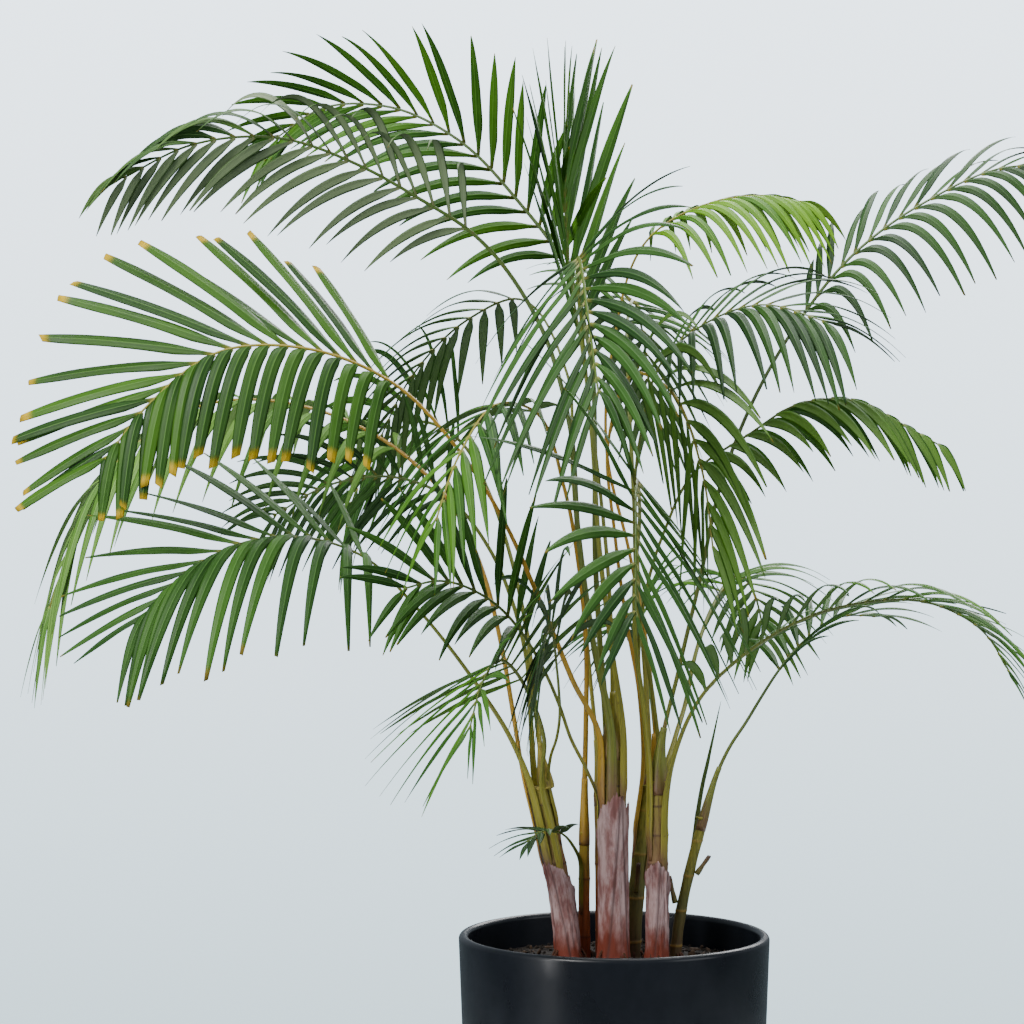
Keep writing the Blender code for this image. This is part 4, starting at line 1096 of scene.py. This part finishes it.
def add_bit(shape, place, size, stretch, slot):
    """A small irregular lump."""
    lump = bmesh.new()
    bmesh.ops.create_icosphere(lump, subdivisions=2, radius=1)
    angle = chance.uniform(0, math.tau)
    turn = Matrix.Rotation(angle, 3, Vector((chance.gauss(0, 1), chance.gauss(0, 1), 1)))
    shift = Vector((chance.uniform(0, 50), chance.uniform(0, 50), 0))
    luck = chance.random()
    start = len(shape.points)
    for vert in lump.verts:
        rough = 1 + 0.55 * noise.noise(vert.co * 1.3 + shift) + 0.2 * noise.noise(vert.co * 4 + shift)
        spot = turn @ Vector((vert.co.x * stretch[0], vert.co.y * stretch[1], vert.co.z * stretch[2]))
        shape.point(place + spot * size * rough, 0, 0.5, luck, 0.0)
    lump.verts.index_update()
    for face in lump.faces:
        shape.face(tuple(start + vert.index for vert in face.verts), slot)
    lump.free()


def on_soil(angle, away, top, radius):
    """A point of the soil's uneven surface, which falls a little towards the pot's wall."""
    x, y = math.cos(angle) * away, math.sin(angle) * away
    fall = SOIL_FALL * smoothstep(away / radius, 0.55, 1.0)
    rough = noise_at(x * 60, y * 60, 0) + 0.6 * noise_at(x * 170, y * 170, 2)
    return Vector((x, y, top - fall + SOIL_BUMP * rough))


def build_soil():
    low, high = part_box("soil")
    radius = Slices("pot").at(high.z - SOIL_EDGE)[1] - POT_WALL - SOIL_GAP
    base_radius = Slices("soil").at(low.z + SOIL_BASE_EDGE)[1]
    shape = Shape()
    centre = shape.point(on_soil(0, 0, high.z, radius))
    rings = []
    for number in range(1, SOIL_RINGS + 1):
        away = radius * number / SOIL_RINGS
        rings.append(shape.ring([on_soil(angle, away, high.z, radius) for angle in turns(SOIL_SPOKES)]))
    rings.append(shape.ring([around(angle, base_radius, low.z) for angle in turns(SOIL_SPOKES)]))
    first = rings[0]
    for i in range(SOIL_SPOKES):
        shape.face((centre, first[i], first[(i + 1) % SOIL_SPOKES]))
    shape.join_rings(rings, start=False)
    for slot, (count, reach, least, greatest, stretch, lift) in enumerate(SOIL_BITS):
        for _ in range(count):
            angle = chance.uniform(0, math.tau)
            away = radius * reach * math.sqrt(chance.random())
            size = chance.uniform(least, greatest)
            place = on_soil(angle, away, high.z, radius) + UP * size * lift
            add_bit(shape, place, size, stretch, slot)
    shape.piece("soil_bed", ["soil_mix", "bark_chip", "perlite"], ["soil"])


def arc(centre, radius, start, end, steps):
    """Points of a round stretch of a profile, between two angles in degrees."""
    points = []
    for i in range(steps + 1):
        angle = math.radians(lerp(start, end, i / steps))
        points.append((centre[0] + radius * math.cos(angle), centre[1] + radius * math.sin(angle)))
    return points


def straight(start, end, steps):
    """Points of a straight stretch of a profile, without its ends."""
    shares = [i / steps for i in range(1, steps)]
    return [(lerp(start[0], end[0], share), lerp(start[1], end[1], share)) for share in shares]


def pot_profile():
    """Half a section of the pot, from the middle of its floor over its rim to the middle of its foot."""
    low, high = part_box("pot")
    rim = high.x
    half = POT_WALL / 2
    foot = Slices("pot").at(low.z + POT_FOOT_ROUND)[1]
    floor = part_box("soil")[0].z - SOIL_GAP
    inside = foot + (rim - foot) * floor / high.z - POT_WALL
    profile = [(POT_AXIS, floor), (inside * 0.5, floor)]
    profile += arc((inside - POT_FLOOR_ROUND, floor + POT_FLOOR_ROUND), POT_FLOOR_ROUND, -90, 0, 5)
    profile += straight((inside, floor + POT_FLOOR_ROUND), (rim - POT_WALL, high.z - half), 12)
    profile += arc((rim - half, high.z - half), half, 180, 0, 16)
    profile += straight((rim, high.z - half), (foot, POT_FOOT_ROUND), 14)
    profile += arc((foot - POT_FOOT_ROUND, POT_FOOT_ROUND), POT_FOOT_ROUND, 0, -90, 8)
    return profile + [(foot * 0.5, 0.0), (POT_AXIS, 0.0)]


def build_pot():
    shape = Shape()
    rings = []
    for reach, height in pot_profile():
        rings.append(shape.ring([around(angle, reach, height) for angle in turns(POT_SPOKES)]))
    shape.join_rings(rings)
    shape.piece("pot_body", ["pot_glaze"], ["pot"])


def build_floor():
    shape = bmesh.new()
    bmesh.ops.create_circle(shape, cap_ends=True, segments=96, radius=FLOOR_RADIUS)
    mesh = bpy.data.meshes.new("floor")
    shape.to_mesh(mesh)
    shape.free()
    mesh.materials.append(floor_material())
    floor = bpy.data.objects.new("floor", mesh)
    bpy.context.scene.collection.objects.link(floor)


# What each material's function takes after the name
PAINTS = {
    glaze_material: {
        "pot_glaze": ((0.0035, 0.0045, 0.007), (0.006, 0.0075, 0.011), (0.02, 0.023, 0.028)),
    },
    soil_material: {
        "soil_mix": ((0.004, 0.0028, 0.002), (0.016, 0.010, 0.006), (0.05, 0.03, 0.016), (0.008, 0.005, 0.0035)),
    },
    chip_material: {
        "bark_chip": ((0.006, 0.004, 0.003), (0.05, 0.028, 0.015), 500.0),
        "perlite": ((0.14, 0.14, 0.13), (0.34, 0.34, 0.32), 900.0),
        "root_brown": ((0.030, 0.010, 0.006), (0.12, 0.048, 0.024), 700.0),
    },
    cane_material: {
        "stub_dry": ((0.16, 0.15, 0.03), (0.17, 0.12, 0.045), (0.11, 0.055, 0.03), (0.08, 0.045, 0.028)),
        "cane_mauve": ((0.16, 0.028, 0.018), (0.20, 0.085, 0.060), (0.30, 0.25, 0.035), (0.06, 0.025, 0.018)),
        "cane_orange": ((0.20, 0.030, 0.010), (0.40, 0.12, 0.025), (0.32, 0.26, 0.03), (0.15, 0.04, 0.015)),
        "cane_olive": ((0.10, 0.055, 0.022), (0.13, 0.13, 0.030), (0.28, 0.25, 0.03), (0.34, 0.21, 0.045)),
    },
    paper_material: {
        "sheath_paper": ((0.17, 0.032, 0.016), (0.21, 0.085, 0.075), (0.46, 0.31, 0.30), (0.070, 0.022, 0.018)),
    },
    stalk_material: {
        "stalk_golden": ((0.42, 0.25, 0.014), (0.44, 0.235, 0.018), (0.22, 0.22, 0.02)),
        "stalk_olive": ((0.30, 0.25, 0.018), (0.15, 0.17, 0.016), (0.075, 0.135, 0.014)),
        "stalk_green": ((0.19, 0.20, 0.02), (0.065, 0.105, 0.014), (0.055, 0.115, 0.014)),
    },
    leaf_material: {
        "leaf_great": (
            (0.009, 0.042, 0.002), (0.042, 0.124, 0.004), (0.078, 0.15, 0.018), (0.52, 0.34, 0.012), 0.935
        ),
        "leaf_deep": (
            (0.008, 0.034, 0.004), (0.030, 0.092, 0.010), (0.070, 0.115, 0.045), (0.16, 0.13, 0.015), 0.98
        ),
        "leaf_mid": (
            (0.010, 0.046, 0.003), (0.038, 0.118, 0.008), (0.075, 0.135, 0.030), (0.20, 0.15, 0.015), 0.97
        ),
        "leaf_fresh": (
            (0.012, 0.060, 0.002), (0.054, 0.160, 0.004), (0.080, 0.16, 0.020), (0.24, 0.18, 0.015), 0.98
        ),
        "leaf_grey": (
            (0.016, 0.055, 0.008), (0.065, 0.135, 0.026), (0.165, 0.205, 0.120), (0.20, 0.15, 0.03), 0.97
        ),
        "leaf_pale": (
            (0.055, 0.150, 0.015), (0.14, 0.29, 0.045), (0.19, 0.31, 0.085), (0.28, 0.24, 0.04), 0.98
        ),
        "leaf_bright": (
            (0.036, 0.125, 0.003), (0.13, 0.29, 0.008), (0.15, 0.28, 0.034), (0.36, 0.30, 0.03), 0.98
        ),
    },
}
MATERIALS = {name: make(name, *values) for make, paints in PAINTS.items() for name, values in paints.items()}

# Material, distance between leaf scars, a name for the kind of cane, and whether the cane ends in a tip of its
# own
CANES = {
    "cane_left": ("cane_mauve", 0.030, "mauve_cane", True),
    "cane_main": ("cane_mauve", 0.034, "mauve_cane", False),
    "cane_olive": ("cane_olive", 0.045, "green_cane", False),
    "cane_right": ("cane_mauve", 0.030, "mauve_cane", False),
    "cane_far_right": ("cane_olive", 0.036, "green_cane", False),
    "shoot_front": ("cane_orange", 0.060, "orange_shoot", False),
    "shoot_back": ("cane_orange", 0.070, "orange_shoot", False),
}
CANE_SLICES = {name: Slices(name) for name in CANES}

# Cane, direction of the open side in degrees, and the place and lean of each crease across the sheath
SHEATHS = {
    "cane_left_sheath": ("cane_left", 60, ((-0.35, 0.1), (0.15, -0.2))),
    "cane_main_sheath": ("cane_main", 100, ((-0.28, 0.35), (0.25, -0.12))),
    "cane_right_sheath": ("cane_right", 80, ((-0.1, 0.2), (0.4, 0.0))),
}

build_camera()
build_world()
build_lights()
build_floor()
build_pot()
build_soil()
for name, cane in CANES.items():
    build_cane(name, *cane)
for name, sheath in SHEATHS.items():
    build_sheath(name, *sheath)
for name in ("stub_far_right_low", "stub_far_right_high", "stub_olive"):
    build_stub(name)
build_spear()
for name in LOOKS:
    build_frond(name)
